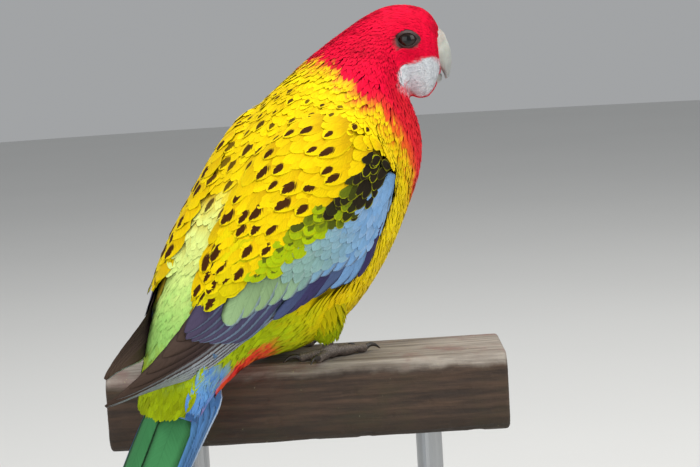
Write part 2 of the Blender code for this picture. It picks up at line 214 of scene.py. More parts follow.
def tube_faces(rings: int, around: int, start: int = 0) -> Array:
    """Quads between neighbouring rings of a tube, wound so that they face away from its middle."""
    ring, spoke = np.meshgrid(np.arange(rings - 1), np.arange(around), indexing="ij")
    here, ahead = ring * around + spoke, ring * around + (spoke + 1) % around
    quads = np.stack([here, ahead, ahead + around, here + around], axis=-1)
    return quads.reshape(-1, 4) + start


def capped_tube(rings: Array, start: int = 0) -> tuple[Array, list[Array]]:
    """Points and faces of a closed solid from rings of points: quads along it, a fan at each end.

    Args:
        rings: (rings, around, 3) points, each ring turning left as seen along the tube.
        start: number of the first vertex.

    Returns:
        the points, and the quads and triangles.
    """
    count, around = rings.shape[:2]
    spoke = np.arange(around)
    after = (spoke + 1) % around
    last, pole = (count - 1) * around, count * around
    near = np.stack([after, spoke, np.full(around, pole)], axis=1)
    far = np.stack([last + spoke, last + after, np.full(around, pole + 1)], axis=1)
    return capped(rings), [tube_faces(count, around, start), np.concatenate([near, far]) + start]


def solid_from_tubes(name: str, tubes: list[Array]) -> Thing:
    """One mesh of several closed tubes.

    Args:
        name: the piece's name.
        tubes: rings of points of each tube.

    Returns:
        the piece.
    """
    points, quads, fans, start = [], [], [], 0
    for rings in tubes:
        places, (sides, ends) = capped_tube(rings, start)
        points.append(places)
        quads.append(sides)
        fans.append(ends)
        start += len(places)
    return make_mesh(name, np.concatenate(points), [np.concatenate(quads), np.concatenate(fans)])


def tube_rings(path: Array, radii: Array, around: int, guide: Array = UP) -> Array:
    """Round rings along a path: each point is the path's plus the radius along a turned axis.

    Args:
        path: (n, 3) points.
        radii: (n,) or (n, around) radii.
        around: points in each ring.
        guide: a direction that the path never runs along.

    Returns:
        (n, around, 3) points.
    """
    along = unit(np.gradient(path, axis=0))
    side = unit(np.cross(guide, along))
    rise = np.cross(along, side)
    turn = np.linspace(0.0, 2 * math.pi, around, endpoint=False)
    ring = np.cos(turn)[None, :, None] * side[:, None] + np.sin(turn)[None, :, None] * rise[:, None]
    radii = np.asarray(radii, float)
    radii = radii[:, None] if radii.ndim == 1 else radii
    return path[:, None] + radii[..., None] * ring


# ---- surfaces ------------------------------------------------------------------------------
@dataclass
class Reading:
    """Points of a surface, its outward directions there, and its steps per unit of a and of b."""

    points: Array
    normals: Array
    step_a: Array
    step_b: Array


class Surface:
    """A surface read from a grid of places, its rows along a and its columns along b."""

    def __init__(self, places: Array, a_ends: tuple, b_ends: tuple, wraps: bool, inside: Array) -> None:
        """Works out steps and outward directions over the grid.

        Args:
            places: (rows, columns, 3) points. Where it wraps, the last column repeats the first.
            a_ends: a on the first and last rows.
            b_ends: b on the first and last columns.
            wraps: whether the surface closes round b.
            inside: (rows, 3) points on the inner side of each row.
        """
        self.a_ends, self.b_ends, self.wraps, self.inside = a_ends, b_ends, wraps, inside
        self.shape = places.shape[:2]
        step_a = np.gradient(places, axis=0) * (self.shape[0] - 1) / (a_ends[1] - a_ends[0])
        step_b = np.gradient(places, axis=1)
        if wraps:
            seam = (places[:, 1] - places[:, -2]) / 2
            step_b[:, 0] = step_b[:, -1] = seam
        step_b = step_b * (self.shape[1] - 1) / (b_ends[1] - b_ends[0])
        normals = unit(np.cross(step_b, step_a))
        outward = np.sum(normals * (places - inside[:, None]), axis=2, keepdims=True)
        normals = normals * np.sign(outward.mean())
        self.table = np.concatenate([places, normals, step_a, step_b], axis=2)

    def read(self, a: Array, b: Array) -> Reading:
        """Mixes the four nearest grid points; past an end it runs straight on.

        Args:
            a: places along the rows.
            b: places along the columns, in the same shape.

        Returns:
            points, outward directions and steps there.
        """
        rows, columns = self.shape
        inside_a = np.clip(a, *self.a_ends)
        if self.wraps:
            inside_b = (b - self.b_ends[0]) % (self.b_ends[1] - self.b_ends[0]) + self.b_ends[0]
            past_b = np.zeros_like(b)
        else:
            inside_b = np.clip(b, *self.b_ends)
            past_b = b - inside_b
        row, column = self.cell_at(inside_a, inside_b)
        r = np.clip(row.astype(int), 0, rows - 2)
        c = np.clip(column.astype(int), 0, columns - 2)
        fr, fc = (row - r)[..., None], (column - c)[..., None]
        low = self.table[r, c] * (1 - fc) + self.table[r, c + 1] * fc
        high = self.table[r + 1, c] * (1 - fc) + self.table[r + 1, c + 1] * fc
        found = low * (1 - fr) + high * fr
        points, normals, step_a, step_b = np.split(found, 4, axis=-1)
        points = points + (a - inside_a)[..., None] * step_a + past_b[..., None] * step_b
        return Reading(points, unit(normals), step_a, step_b)

    def lifted(self, height: Array) -> "Surface":
        """The surface moved outwards by a height at each grid point."""
        places = self.table[..., :3] + self.table[..., 3:6] * height[..., None]
        return Surface(places, self.a_ends, self.b_ends, self.wraps, self.inside)

    def grid(self, shape: tuple[int, int]) -> tuple[Array, Array]:
        """a and b on an even grid over the surface."""
        a, b = np.linspace(*self.a_ends, shape[0]), np.linspace(*self.b_ends, shape[1])
        return np.meshgrid(a, b, indexing="ij")

    def cell_at(self, a: Array, b: Array) -> tuple[Array, Array]:
        """Row and column of places, as numbers that run between grid points."""
        row = (a - self.a_ends[0]) / (self.a_ends[1] - self.a_ends[0]) * (self.shape[0] - 1)
        return row, (b - self.b_ends[0]) / (self.b_ends[1] - self.b_ends[0]) * (self.shape[1] - 1)

    def height_of(self, sheets: list["Surface"]) -> Array:
        """How far other sheets stand over this surface, at its grid points, with a soft edge.

        Each sheet point belongs to the grid point nearest to it, by its height along the outward
        direction there. Gaps take their highest neighbour within two steps, and rounds of averaging
        soften the edge.

        Args:
            sheets: the other surfaces.

        Returns:
            (rows, columns) heights.
        """
        grid, out = self.table[..., :3].reshape(-1, 3), self.table[..., 3:6].reshape(-1, 3)
        height = np.zeros(len(grid))
        for sheet in sheets:
            for points in np.array_split(sheet.table[::2, ::2, :3].reshape(-1, 3), 12):
                near = (np.sum(grid**2, axis=1)[None] - 2 * points @ grid.T).argmin(axis=1)
                np.maximum.at(height, near, np.sum((points - grid[near]) * out[near], axis=1))
        height = height.reshape(self.shape)
        steps = [(i, j) for i in (-1, 0, 1) for j in (-1, 0, 1)]
        for _ in range(2):
            height = np.maximum.reduce([np.roll(height, step, (0, 1)) for step in steps])
        for _ in range(5):
            height = sum(np.roll(height, step, (0, 1)) for step in steps) / 9
        return height


@dataclass(frozen=True)
class BodyShape:
    """The bird's body: a curved spine from the tail's root to the face, an oval section at each point.

    The trunk's rows hold the spine's x, y, z, the reach to the back, the belly and each side, and
    how far the section's axis tips up and turns left in degrees. The head's rows hold the distance
    ahead of the head's centre, the top and bottom over it, the half width and the tip.
    """

    trunk: tuple = (
        (-68.5, 0.0, -10.3, 2.8, 13.0, 15.0, 62.0, 0.0),
        (-62.5, 0.0, 3.0, 6.0, 18.5, 17.5, 58.0, 0.0),
        (-51.0, 0.0, 18.0, 13.5, 25.0, 21.5, 49.0, 0.0),
        (-34.0, 0.0, 34.0, 20.5, 41.5, 27.5, 43.5, 0.0),
        (-17.0, 0.0, 50.0, 24.5, 50.0, 30.5, 43.0, 0.0),
        (-1.0, 0.0, 65.0, 27.0, 50.0, 32.0, 43.0, 0.0),
        (14.0, 0.0, 80.0, 26.5, 46.5, 30.5, 44.0, 0.0),
        (28.0, -0.5, 94.0, 23.2, 40.0, 26.5, 43.0, -6.0),
        (39.0, -3.0, 105.0, 19.7, 29.5, 21.0, 34.0, -20.0),
    )
    head: tuple = (
        (-1.0, 15.8, -20.5, 14.6, 8.0),
        (5.0, 15.0, -21.2, 13.4, 2.0),
        (9.4, 12.8, -19.8, 10.6, 0.0),
        (12.0, 9.8, -16.2, 7.6, 0.0),
        (13.6, 6.6, -12.0, 5.0, 0.0),
        (14.4, 4.4, -9.0, 3.2, 0.0),
    )
    head_centre: tuple = (51.0, -9.0, 115.0)
    head_turn: float = -40.0

    def head_axes(self) -> Array:
        """Forward, left and up of the head, which is turned but level, as three rows."""
        turn = math.radians(self.head_turn)
        forward = np.array([math.cos(turn), math.sin(turn), 0.0])
        return np.stack([forward, np.cross(UP, forward), UP])

    def on_head(self, ahead: Array, left: Array, above: Array) -> Array:
        """Places of points given in the head's own axes."""
        parts = np.stack(np.broadcast_arrays(ahead, left, above), axis=-1).astype(float)
        return np.array(self.head_centre) + parts @ self.head_axes()

    def in_head(self, places: Array) -> Array:
        """How far places are ahead of, left of and above the head's centre."""
        return (places - np.array(self.head_centre)) @ self.head_axes().T

    def rows(self) -> Array:
        """Trunk rows followed by the head's, all in the trunk's eight columns."""
        rows = list(self.trunk)
        for ahead, top, bottom, half, tip in self.head:
            centre = self.on_head(ahead, 0.0, (top + bottom) / 2)
            reach = (top - bottom) / 2
            rows.append((*centre, reach, reach, half, tip, self.head_turn))
        return np.array(rows)

    def sections(self, count: int) -> tuple[Array, Array, Array, Array, Array]:
        """Centre, reaches, axis, left side and back direction of count sections along the spine."""
        rows = smooth_curve(self.rows(), count, by_knot=True)
        tip, turn = np.radians(rows[:, 6]), np.radians(rows[:, 7])
        along = np.stack([np.cos(tip) * np.cos(turn), np.cos(tip) * np.sin(turn), np.sin(tip)], axis=1)
        side = np.stack([-np.sin(turn), np.cos(turn), 0.0 * turn], axis=1)
        return rows[:, :3], rows[:, 3:6], along, side, np.cross(along, side)

    def surface(self, steps: int = 16, columns: int = 181) -> Surface:
        """The outer surface over a, the station's number, and b, degrees from the back to the left.

        A point is the centre plus sin b of the side reach plus cos b of the back or belly reach.

        Args:
            steps: rows from one station to the next.
            columns: points round the body.

        Returns:
            the surface.
        """
        last = len(self.trunk) + len(self.head) - 1
        centre, reach, _, side, back = self.sections(last * steps + 1)
        turn = np.radians(np.linspace(-180.0, 180.0, columns))
        wide = reach[:, 2:3] * np.sin(turn)
        tall = np.where(np.cos(turn) > 0, reach[:, :1], reach[:, 1:2]) * np.cos(turn)
        places = centre[:, None] + wide[..., None] * side[:, None] + tall[..., None] * back[:, None]
        return Surface(places, (0.0, float(last)), (-180.0, 180.0), True, centre)

    def cleared(self, points: Array, height: Array) -> Array:
        """The points, moved out from the spine where they are less than height over the body.

        Args:
            points: (..., 3) points.
            height: (...) least height of each.

        Returns:
            (..., 3) points.
        """
        centre, reaches, along, side, back = self.sections(150)
        flat = points.reshape(-1, 3)
        offset = flat[:, None] - centre[None]
        ahead = np.abs(np.sum(offset * along[None], axis=2))
        near = np.argmin(ahead + 0.05 * np.linalg.norm(offset, axis=2), axis=1)
        local = flat - centre[near]
        local -= np.sum(local * along[near], axis=1)[:, None] * along[near]
        wide = np.sum(local * side[near], axis=1)
        tall = np.sum(local * back[near], axis=1)
        reach = reaches[near] + height.reshape(-1, 1)
        ratio = np.hypot(wide / reach[:, 2], tall / np.where(tall > 0, reach[:, 0], reach[:, 1]))
        push = np.maximum(1.0 / np.maximum(ratio, 1e-6) - 1.0, 0.0)
        return (flat + local * push[:, None]).reshape(points.shape)


@dataclass(frozen=True)
class WingShape:
    """A folded wing: a sheet between its upper and lower edges, bowed outwards and kept off the body."""

    upper: tuple = (
        (19.0, -27.0, 72.0), (8.0, -20.0, 87.5), (-18.0, -14.0, 81.0), (-44.0, -11.0, 56.0),
        (-60.0, -11.0, 31.0), (-75.5, -10.0, 16.0), (-88.0, -8.0, 6.5), (-97.0, -5.5, 0.0),
    )
    lower: tuple = (
        (20.0, -28.0, 66.0), (15.5, -31.0, 54.0), (10.0, -31.0, 41.0), (1.0, -31.5, 33.0),
        (-16.0, -30.0, 27.0), (-31.0, -26.5, 19.0), (-50.0, -21.0, 9.5), (-74.0, -12.0, 1.0),
        (-93.0, -5.5, -4.5),
    )
    bow: float = 7.0
    thick: float = 3.2
    tip_thick: float = 1.0
    lift: float = 1.35
    left_shift: tuple = (2.5, -2.5, -0.5)
    left_tip: tuple = (2.5, 0.5, 8.5)

    def surface(
        self, body: BodyShape, side: int, flat: bool = False, rows: int = 121, columns: int = 61
    ) -> Surface:
        """The outer face over a, 0 at the bend and 1 at the tip, and b, 0 on the upper edge, 1 below.

        A point is the straight mix of the two edges plus the bow, which is highest half way between
        them and fades to the tip, plus half the thickness.

        Args:
            body: the body that the wing lies on.
            side: 1 for the right wing, -1 for the left.
            flat: keeps the full thickness out to the edges, as the flight feathers' sheet.
            rows: points from bend to tip.
            columns: points between the edges.

        Returns:
            the surface.
        """
        u, v = np.linspace(0.0, 1.0, rows), np.linspace(0.0, 1.0, columns)
        upper, lower = smooth_curve(self.upper, rows), smooth_curve(self.lower, rows)
        sheet = upper[:, None] * (1 - v)[None, :, None] + lower[:, None] * v[None, :, None]
        out = unit(np.cross(np.gradient((upper + lower) / 2, axis=0), lower - upper))
        out = out * -np.sign(out[:, 1:2])
        bow = self.bow * (1 - u) ** 0.5 * np.sin(math.pi * np.clip(u * 4, 0, 0.5))
        half = (self.thick + (self.tip_thick - self.thick) * u) / 2
        lens = half[:, None] * (0 * v + 1 if flat else np.sqrt(np.clip(1 - (2 * v - 1) ** 2, 0, 1)))[None]
        height = bow[:, None] * (4 * v * (1 - v))[None] + lens
        places = (sheet + height[..., None] * out[:, None]) * [1.0, side, 1.0]
        moved = np.array(self.left_shift) + smooth(0.45, 1.0, u)[:, None] * np.array(self.left_tip)
        places = places + moved[:, None] * (side < 0)
        places = body.cleared(places, self.lift + half[:, None] + lens)
        for _ in range(FLAT_ROUNDS * flat):
            places[1:-1] = (places[:-2] + 2 * places[1:-1] + places[2:]) / 4
            places[:, 1:-1] = (places[:, :-2] + 2 * places[:, 1:-1] + places[:, 2:]) / 4
        centre = np.array([-20.0, 0.0, 45.0])[None] + np.zeros((rows, 3))
        return Surface(places, (0.0, 1.0), (0.0, 1.0), False, centre)


@dataclass(frozen=True)
class TailShape:
    """The tail: an arched fan of vanes that runs down and back from the rump.

    Rows hold the distance from the root, the half width, the height of the middle over the fan's
    plane, and the droop of the edges.
    """

    root: tuple = (-68.9, 0.0, -11.1)
    slope: float = -60.0
    roll: float = 12.0
    rows: tuple = (
        (0.0, 14.8, 2.0, 7.0), (16.0, 15.2, 1.7, 5.4), (34.0, 15.6, 1.5, 4.2), (55.0, 15.6, 1.4, 3.2),
        (75.0, 15.0, 1.3, 2.4), (95.0, 12.4, 1.1, 1.7), (112.0, 9.0, 0.9, 1.0), (124.0, 5.5, 0.8, 0.4),
        (130.0, 2.5, 0.6, 0.1),
    )

    def axes(self) -> Array:
        """Along the tail, to its left and out of its back, as three rows."""
        slope, roll = math.radians(self.slope), math.radians(self.roll)
        along = np.array([-math.cos(slope), 0.0, math.sin(slope)])
        upright = np.array([math.sin(slope), 0.0, math.cos(slope)])
        left = np.array([0.0, 1.0, 0.0])
        back = upright * math.cos(roll) - left * math.sin(roll)
        return np.stack([along, left * math.cos(roll) + upright * math.sin(roll), back])

    def half_width(self, distance: Array) -> Array:
        """Half the tail's width at distances from its root."""
        table = np.array(self.rows)
        return np.interp(distance, table[:, 0], table[:, 1])

    def surface(self, rows: int = 66, columns: int = 41) -> Surface:
        """The upper face over a, millimetres from the root, and b, millimetres to the left.

        The height over the fan's plane is the middle's times 1 - w^2 less the droop times w^2, with
        w the share of the half width.

        Args:
            rows: points along the tail.
            columns: points across it.

        Returns:
            the surface.
        """
        table = np.array(self.rows)
        at = np.linspace(0.0, table[-1, 0], rows)
        half, above, droop = (np.interp(at, table[:, 0], table[:, i])[:, None] for i in (1, 2, 3))
        offset = np.linspace(-table[:, 1].max(), table[:, 1].max(), columns)[None]
        w = np.clip(offset / half, -1.0, 1.0)
        tall = above * (1 - w**2) - droop * w**2
        along, left, back = self.axes()
        spine = np.array(self.root) + at[:, None] * along
        places = spine[:, None] + offset[..., None] * left + tall[..., None] * back
        ends = float(offset.min()), float(offset.max())
        return Surface(places, (0.0, float(at[-1])), ends, False, spine - back * 30.0)


# ---- colours -------------------------------------------------------------------------------
def shade(red: float, green: float, blue: float) -> Field:
    """A dataclass field whose value is a colour."""
    return field(default_factory=lambda: srgb(red, green, blue))


@dataclass(frozen=True)
class Palette:
    """The bird's colours, linear."""

    red: Array = shade(242, 4, 56)
    red_deep: Array = shade(176, 2, 34)
    red_warm: Array = shade(228, 44, 44)
    orange: Array = shade(240, 118, 16)
    yellow: Array = shade(248, 220, 2)
    yellow_deep: Array = shade(222, 186, 2)
    lime: Array = shade(166, 188, 12)
    lime_pale: Array = shade(224, 238, 138)
    lime_green: Array = shade(172, 226, 118)
    olive: Array = shade(138, 148, 6)
    black: Array = shade(38, 32, 22)
    spot: Array = shade(66, 36, 10)
    flight: Array = shade(80, 64, 56)
    pale_blue: Array = shade(122, 166, 212)
    aqua: Array = shade(140, 176, 158)
    violet: Array = shade(58, 50, 92)
    slate: Array = shade(84, 88, 128)
    stripe: Array = shade(196, 204, 212)
    white: Array = shade(226, 230, 234)
    green: Array = shade(72, 142, 88)
    teal: Array = shade(92, 150, 122)
    blue: Array = shade(116, 176, 232)
    blue_deep: Array = shade(58, 96, 178)
    skin: Array = shade(92, 74, 70)
    horn: Array = shade(186, 188, 178)


# ---- feathers ------------------------------------------------------------------------------
@dataclass(frozen=True)
class Blade:
    """How a feather is cut and how finely it is made.

    The half width at share t of the length is (t / rise) ^ swell up to 1, times
    (1 - ((t - fall) / (1 - fall)) ^ drop) ^ close past the fall. cup bends the edges down by that
    share of the half width, thick is the middle's thickness in millimetres, and bow lifts the
    middle of the length by that share of it.
    """

    rows: int
    columns: int
    rise: float
    swell: float
    fall: float
    drop: float
    close: float
    cup: float = 0.22
    thick: float = 0.25
    bow: float = 0.02

    def half_width(self, t: Array) -> Array:
        """Share of the greatest half width at shares t of the length."""
        rise = np.clip(t / self.rise, 0.0, 1.0) ** self.swell
        past = np.clip((t - self.fall) / (1.0 - self.fall), 0.0, 1.0)
        return np.maximum(rise * (1.0 - past**self.drop) ** self.close, 0.07)


class Cut(Enum):
    """The cuts of feather that the bird wears."""

    DOWN = Blade(4, 3, 0.45, 0.6, 0.25, 2.0, 0.75, cup=0.12, thick=0.12)
    CONTOUR = Blade(7, 3, 0.50, 0.6, 0.30, 2.2, 0.68, cup=0.06, thick=0.10)
    PLUME = Blade(8, 3, 0.40, 0.6, 0.15, 1.9, 0.85, cup=0.08, thick=0.10, bow=0.02)
    MANTLE = Blade(9, 5, 0.50, 0.6, 0.36, 2.4, 0.62, cup=0.08, thick=0.14, bow=0.01)
    COVERT = Blade(10, 5, 0.35, 0.6, 0.55, 3.0, 0.60, cup=0.08, thick=0.2)
    FLIGHT = Blade(40, 5, 0.10, 0.6, 0.66, 2.4, 0.70, cup=0.0, thick=0.10, bow=0.0)
    RECTRIX = Blade(44, 5, 0.08, 0.6, 0.45, 2.1, 0.85, cup=0.0, thick=0.14, bow=0.0)


@dataclass
class Tract:
    """A tract of like feathers on a surface. All but the path may be one value for every feather.

    Attributes:
        cut: the feathers' cut.
        path: (n, 2, 2) or (n, 3, 2) surface places from root to tip, the middle one a pull.
        width: (n) full widths in millimetres.
        lift: (n, 2) height over the surface at the root and at the tip.
        tint: (n, 3) colour at the root.
        tip: (n, 3) colour at the tip.
        roll: (n) degrees turned about its own length.
        core: (n, 4) colour of a dark spot and its strength.
        spot: (n, 3) place of the spot along the length, its half length and half width, in shares.
        edge: (n, 4) colour of the fringe and its strength.
        lip: (n, 3) where the fringe starts across the vane, which side it is on (0 for both), and
            its share at the tip.
        patch: size of each feather's place on the piece's map.
        fitted: whether a vane follows the surface across its width too, so that neighbours never
            cross.
    """

    cut: Cut
    path: Array
    width: Array | float
    lift: Array | tuple
    tint: Array
    tip: Array
    roll: Array | float = 0.0
    core: Array | float = 0.0
    spot: Array | tuple | float = 0.0
    edge: Array | float = 0.0
    lip: Array | tuple | float = 0.0
    patch: float = FINE_PATCH
    fitted: bool = False

    def __post_init__(self) -> None:
        """Gives each feather its own row of everything."""
        sizes = {"width": (), "lift": (2,), "tint": (3,), "tip": (3,), "roll": ()}
        sizes |= {"core": (4,), "spot": (3,), "edge": (4,), "lip": (3,)}
        for name, size in sizes.items():
            value = np.asarray(getattr(self, name), float)
            setattr(self, name, np.broadcast_to(value, (self.count, *size)))

    @property
    def count(self) -> int:
        """How many feathers there are."""
        return len(self.path)


@dataclass
class Laid:
    """Feathers in place: points (n, rows, ring, 3), faces of one feather, map places and attributes.

    facing is the direction that each point is shaded for: mostly out of the surface under it.
    """

    points: Array
    facing: Array
    faces: Array
    places: Array
    values: dict[str, Array]


def blade_faces(rows: int, columns: int) -> Array:
    """Triangles of one feather: a flat closed tube, its upper side from left to right and then its lower.

    Both sides are split along the same diagonals, so that the thin lower side never comes through
    the upper one.

    Args:
        rows: points along the feather.
        columns: points across its upper side.

    Returns:
        (m, 3) vertex numbers.
    """
    around = 2 * columns - 2
    ring = np.arange(columns - 1)
    r = (np.arange(rows - 1) * around)[:, None]
    upper = r + ring, r + ring + 1
    lower = r + (around - ring) % around, r + (around - ring - 1) % around
    sides = []
    for (first, second), step in ((upper, 1), (lower, -1)):
        near = np.stack([first, second, second + around], axis=-1).reshape(-1, 3)
        far = np.stack([first, second + around, first + around], axis=-1).reshape(-1, 3)
        sides += [near[:, ::step], far[:, ::step]]
    inner = np.arange(1, columns - 2)
    cap = np.concatenate([
        np.array([(0, 1, around - 1), (columns - 2, columns - 1, columns)]),
        np.stack([inner, inner + 1, around - inner - 1], axis=1),
        np.stack([inner, around - inner - 1, around - inner], axis=1),
    ])
    return np.concatenate([*sides, cap + (rows - 1) * around, cap[:, ::-1]])


def across_under(surface: Surface, way: Array, found: Reading, level: Array, offset: Array) -> Reading:
    """The surface under points that lie across a path.

    An offset in millimetres along the level side becomes steps of a and b by solving the pair of
    equations of the surface's own steps, which may lean to one another.

    Args:
        surface: the surface.
        way: (n, rows, 2) surface places along each path.
        found: the surface read there.
        level: (n, rows, 3) directions across each path.
        offset: (n, rows, ring) distances across.

    Returns:
        the reading at (n, rows, ring) points.
    """
    step_a, step_b = found.step_a, found.step_b
    pairs = ((step_a, step_a), (step_a, step_b), (step_b, step_b), (level, step_a), (level, step_b))
    aa, ab, bb, on_a, on_b = (np.sum(x * y, axis=2) for x, y in pairs)
    steps = np.stack([on_a * bb - on_b * ab, on_b * aa - on_a * ab], axis=2) / (aa * bb - ab**2)[..., None]
    place = way[:, :, None] + offset[..., None] * steps[:, :, None]
    return surface.read(place[..., 0], place[..., 1])


def lay(surface: Surface, tract: Tract, chance: Chance) -> Laid:
    """Lays a tract's feathers along a surface.

    A feather's middle line is the surface read along its path, raised along the outward direction
    by a lift that runs from root to tip. Its width lies across that line and the outward
    direction, and its section is a thin lens whose edges bend down. A fitted feather's width is
    read from the surface too, and a roll only raises one edge and lowers the other.

    Args:
        surface: the surface.
        tract: the feathers.
        chance: random source, for a number of each feather's own.

    Returns:
        the feathers in place.
    """
    blade: Blade = tract.cut.value
    columns, around = blade.columns, 2 * blade.columns - 2
    t = 1.0 - (1.0 - np.linspace(0.0, 1.0, blade.rows)) ** 1.35
    if tract.path.shape[1] == 2:
        weights = np.stack([1 - t, t], axis=1)
    else:
        weights = np.stack([(1 - t) ** 2, 2 * t * (1 - t), t**2], axis=1)
    way = np.einsum("tk,nkc->ntc", weights, tract.path)
    found = surface.read(way[..., 0], way[..., 1])
    along = np.gradient(found.points, axis=1)
    length = np.linalg.norm(along, axis=2).sum(axis=1)
    along = unit(along)
    level = unit(np.cross(along, found.normals))
    roll = np.radians(tract.roll)[:, None, None]
    upright = np.cross(level, along)
    side = level * np.cos(roll) + upright * np.sin(roll)
    normals = upright * np.cos(roll) - level * np.sin(roll)
    half = tract.width[:, None] / 2 * blade.half_width(t)[None]
    lift = tract.lift[:, :1] + (tract.lift[:, 1:] - tract.lift[:, :1]) * t[None] ** 0.9
    lift = lift + blade.bow * length[:, None] * np.sin(math.pi * t)[None]
    across = np.linspace(-1.0, 1.0, columns)
    w = np.concatenate([across, across[1:-1][::-1]])
    face = np.concatenate([np.ones(columns), -np.ones(columns - 2)])
    lens = face * (1 - w**2) * blade.thick / 2
    drop = blade.cup * half[..., None] * w**2
    sunk = lift[..., None] + lens * np.minimum(1.0, half[..., None]) - drop
    offset = half[..., None] * w
    if tract.fitted:
        under = across_under(surface, way, found, level, offset)
        points = under.points + (sunk + offset * np.sin(roll))[..., None] * under.normals
    else:
        points = found.points[:, :, None] + offset[..., None] * side[:, :, None]
        points = points + sunk[..., None] * normals[:, :, None]
    full = (tract.count, blade.rows, around)
    numbers = t[None, :, None], w[None, None], chance.random(tract.count)[:, None, None]
    vane = np.stack([np.broadcast_to(number, full) for number in numbers], axis=-1)
    root_shade = 0.8 + 0.2 * smooth(0.1, 0.6, t)
    tint = tract.tint[:, None] + (tract.tip - tract.tint)[:, None] * smooth(0.25, 1.0, t)[None, :, None]
    tint = np.broadcast_to((tint * root_shade[None, :, None])[:, :, None], (*full, 3))
    values = {"tint": inked(tint), "vane": vane}
    extras = {"span": stack(tract.count, length, tract.width / 2, 0.0), "core": tract.core, "spot": tract.spot}
    extras |= {"edge": tract.edge, "lip": tract.lip}
    for name, value in extras.items():
        values[name] = np.broadcast_to(value[:, None, None], (*full, value.shape[1]))
    patch = np.stack([vane[..., 1] * 0.5, vane[..., 0] - 0.5], axis=-1) * tract.patch
    root = np.broadcast_to(tract.path[:, 0][:, None, None, ::-1], (*full, 2))
    bent = side[:, :, None] * (w * 0.35)[..., None] + normals[:, :, None]
    facing = unit(bent * 0.45 + found.normals[:, :, None] * 0.55) * face[:, None]
    return Laid(points, facing, blade_faces(blade.rows, columns), np.concatenate([root, patch], axis=-1), values)


def map_on(thing: Thing, places: Array) -> None:
    """Gives the piece its map: one place in the unit square for each vertex."""
    layer = thing.data.uv_layers.new(name="OFBake")
    index = np.zeros(len(thing.data.loops), np.int32)
    thing.data.loops.foreach_get("vertex_index", index)
    layer.uv.foreach_set("vector", places[index].astype(np.float32).ravel())


def dress(name: str, laid: list[Laid], finish: Material, strips: bool = False) -> Thing:
    """Joins laid feathers in one piece with its attributes, its map and its material.

    Args:
        name: the piece's name.
        laid: the tracts in place.
        finish: the material.
        strips: gives each feather its own strip of the map, for a few large feathers. Otherwise
            each is a small patch at its root's place on the surface's own unwrap.

    Returns:
        the piece.
    """
    points, triangles, places, start, number = [], [], [], 0, 0
    total = sum(len(part.points) for part in laid)
    for part in laid:
        count, rows, around = part.points.shape[:3]
        offsets = (np.arange(count) * rows * around + start)[:, None, None]
        triangles.append((part.faces[None] + offsets).reshape(-1, 3))
        points.append(part.points.reshape(-1, 3))
        if strips:
            vane = part.values["vane"]
            face = np.arange(around) >= around // 2 + 1
            turned = np.where(face, 0.25, -0.25) + vane[..., 1] * 0.22
            column = (np.arange(count)[:, None, None] + number + 0.5 + turned) / total
            places.append(np.stack([column, 0.01 + 0.98 * vane[..., 0]], axis=-1).reshape(-1, 2))
        else:
            places.append(part.places.reshape(-1, 4))
        start += count * rows * around
        number += count
    thing = make_mesh(name, np.concatenate(points), [np.concatenate(triangles)])
    for key in laid[0].values:
        joined = [part.values[key].reshape(-1, part.values[key].shape[-1]) for part in laid]
        paint(thing, key, np.concatenate(joined))
    if not strips:
        facing = np.concatenate([part.facing.reshape(-1, 3) for part in laid])
        thing.data.normals_split_custom_set_from_vertices(facing)
    spots = np.concatenate(places)
    if not strips:
        low, high = spots[:, :2].min(axis=0), spots[:, :2].max(axis=0)
        spots = 0.02 + 0.96 * (spots[:, :2] - low) / (high - low) + spots[:, 2:]
    map_on(thing, spots)
    thing.data.materials.append(finish)
    return thing


def scatter(surface: Surface, density: Array, chance: Chance) -> tuple[Array, Array]:
    """Even scatter of places over a surface with the given density.

    Places follow a two-dimensional golden-ratio sequence, whose first number is turned into a row
    and whose second into a column by the running totals of density times area.

    Args:
        surface: the surface.
        density: (rows, columns) feathers per square millimetre on an even grid over the surface.
        chance: random source, for the sequence's start.

    Returns:
        a and b of each place.
    """
    shape = density.shape
    grid_a, grid_b = surface.grid(shape)
    found = surface.read(grid_a, grid_b)
    area = np.linalg.norm(np.cross(found.step_a, found.step_b), axis=2)
    step_a, step_b = grid_a[1, 0] - grid_a[0, 0], grid_b[0, 1] - grid_b[0, 0]
    mass = area * density * (step_a * step_b)
    count = int(mass.sum())
    picks = (np.arange(count)[:, None] * np.array(GOLDEN_STEPS) + chance.random(2)) % 1.0
    rows_total = np.concatenate([[0.0], np.cumsum(mass.sum(axis=1))])
    row = np.interp(picks[:, 0] * rows_total[-1], rows_total, np.arange(len(rows_total)) - 0.5)
    row = np.clip(row, 0, shape[0] - 1.001)
    columns_total = np.cumsum(mass, axis=1)[np.round(row).astype(int)]
    want = picks[:, 1:] * columns_total[:, -1:]
    column = np.clip((columns_total < want).sum(axis=1), 0, shape[1] - 1)
    before = np.where(column > 0, columns_total[np.arange(count), column - 1], 0.0)
    here = columns_total[np.arange(count), column]
    share = (want[:, 0] - before) / np.maximum(here - before, 1e-9)
    column = np.clip(column - 0.5 + share, 0, shape[1] - 1)
    return surface.a_ends[0] + row * step_a, surface.b_ends[0] + column * step_b


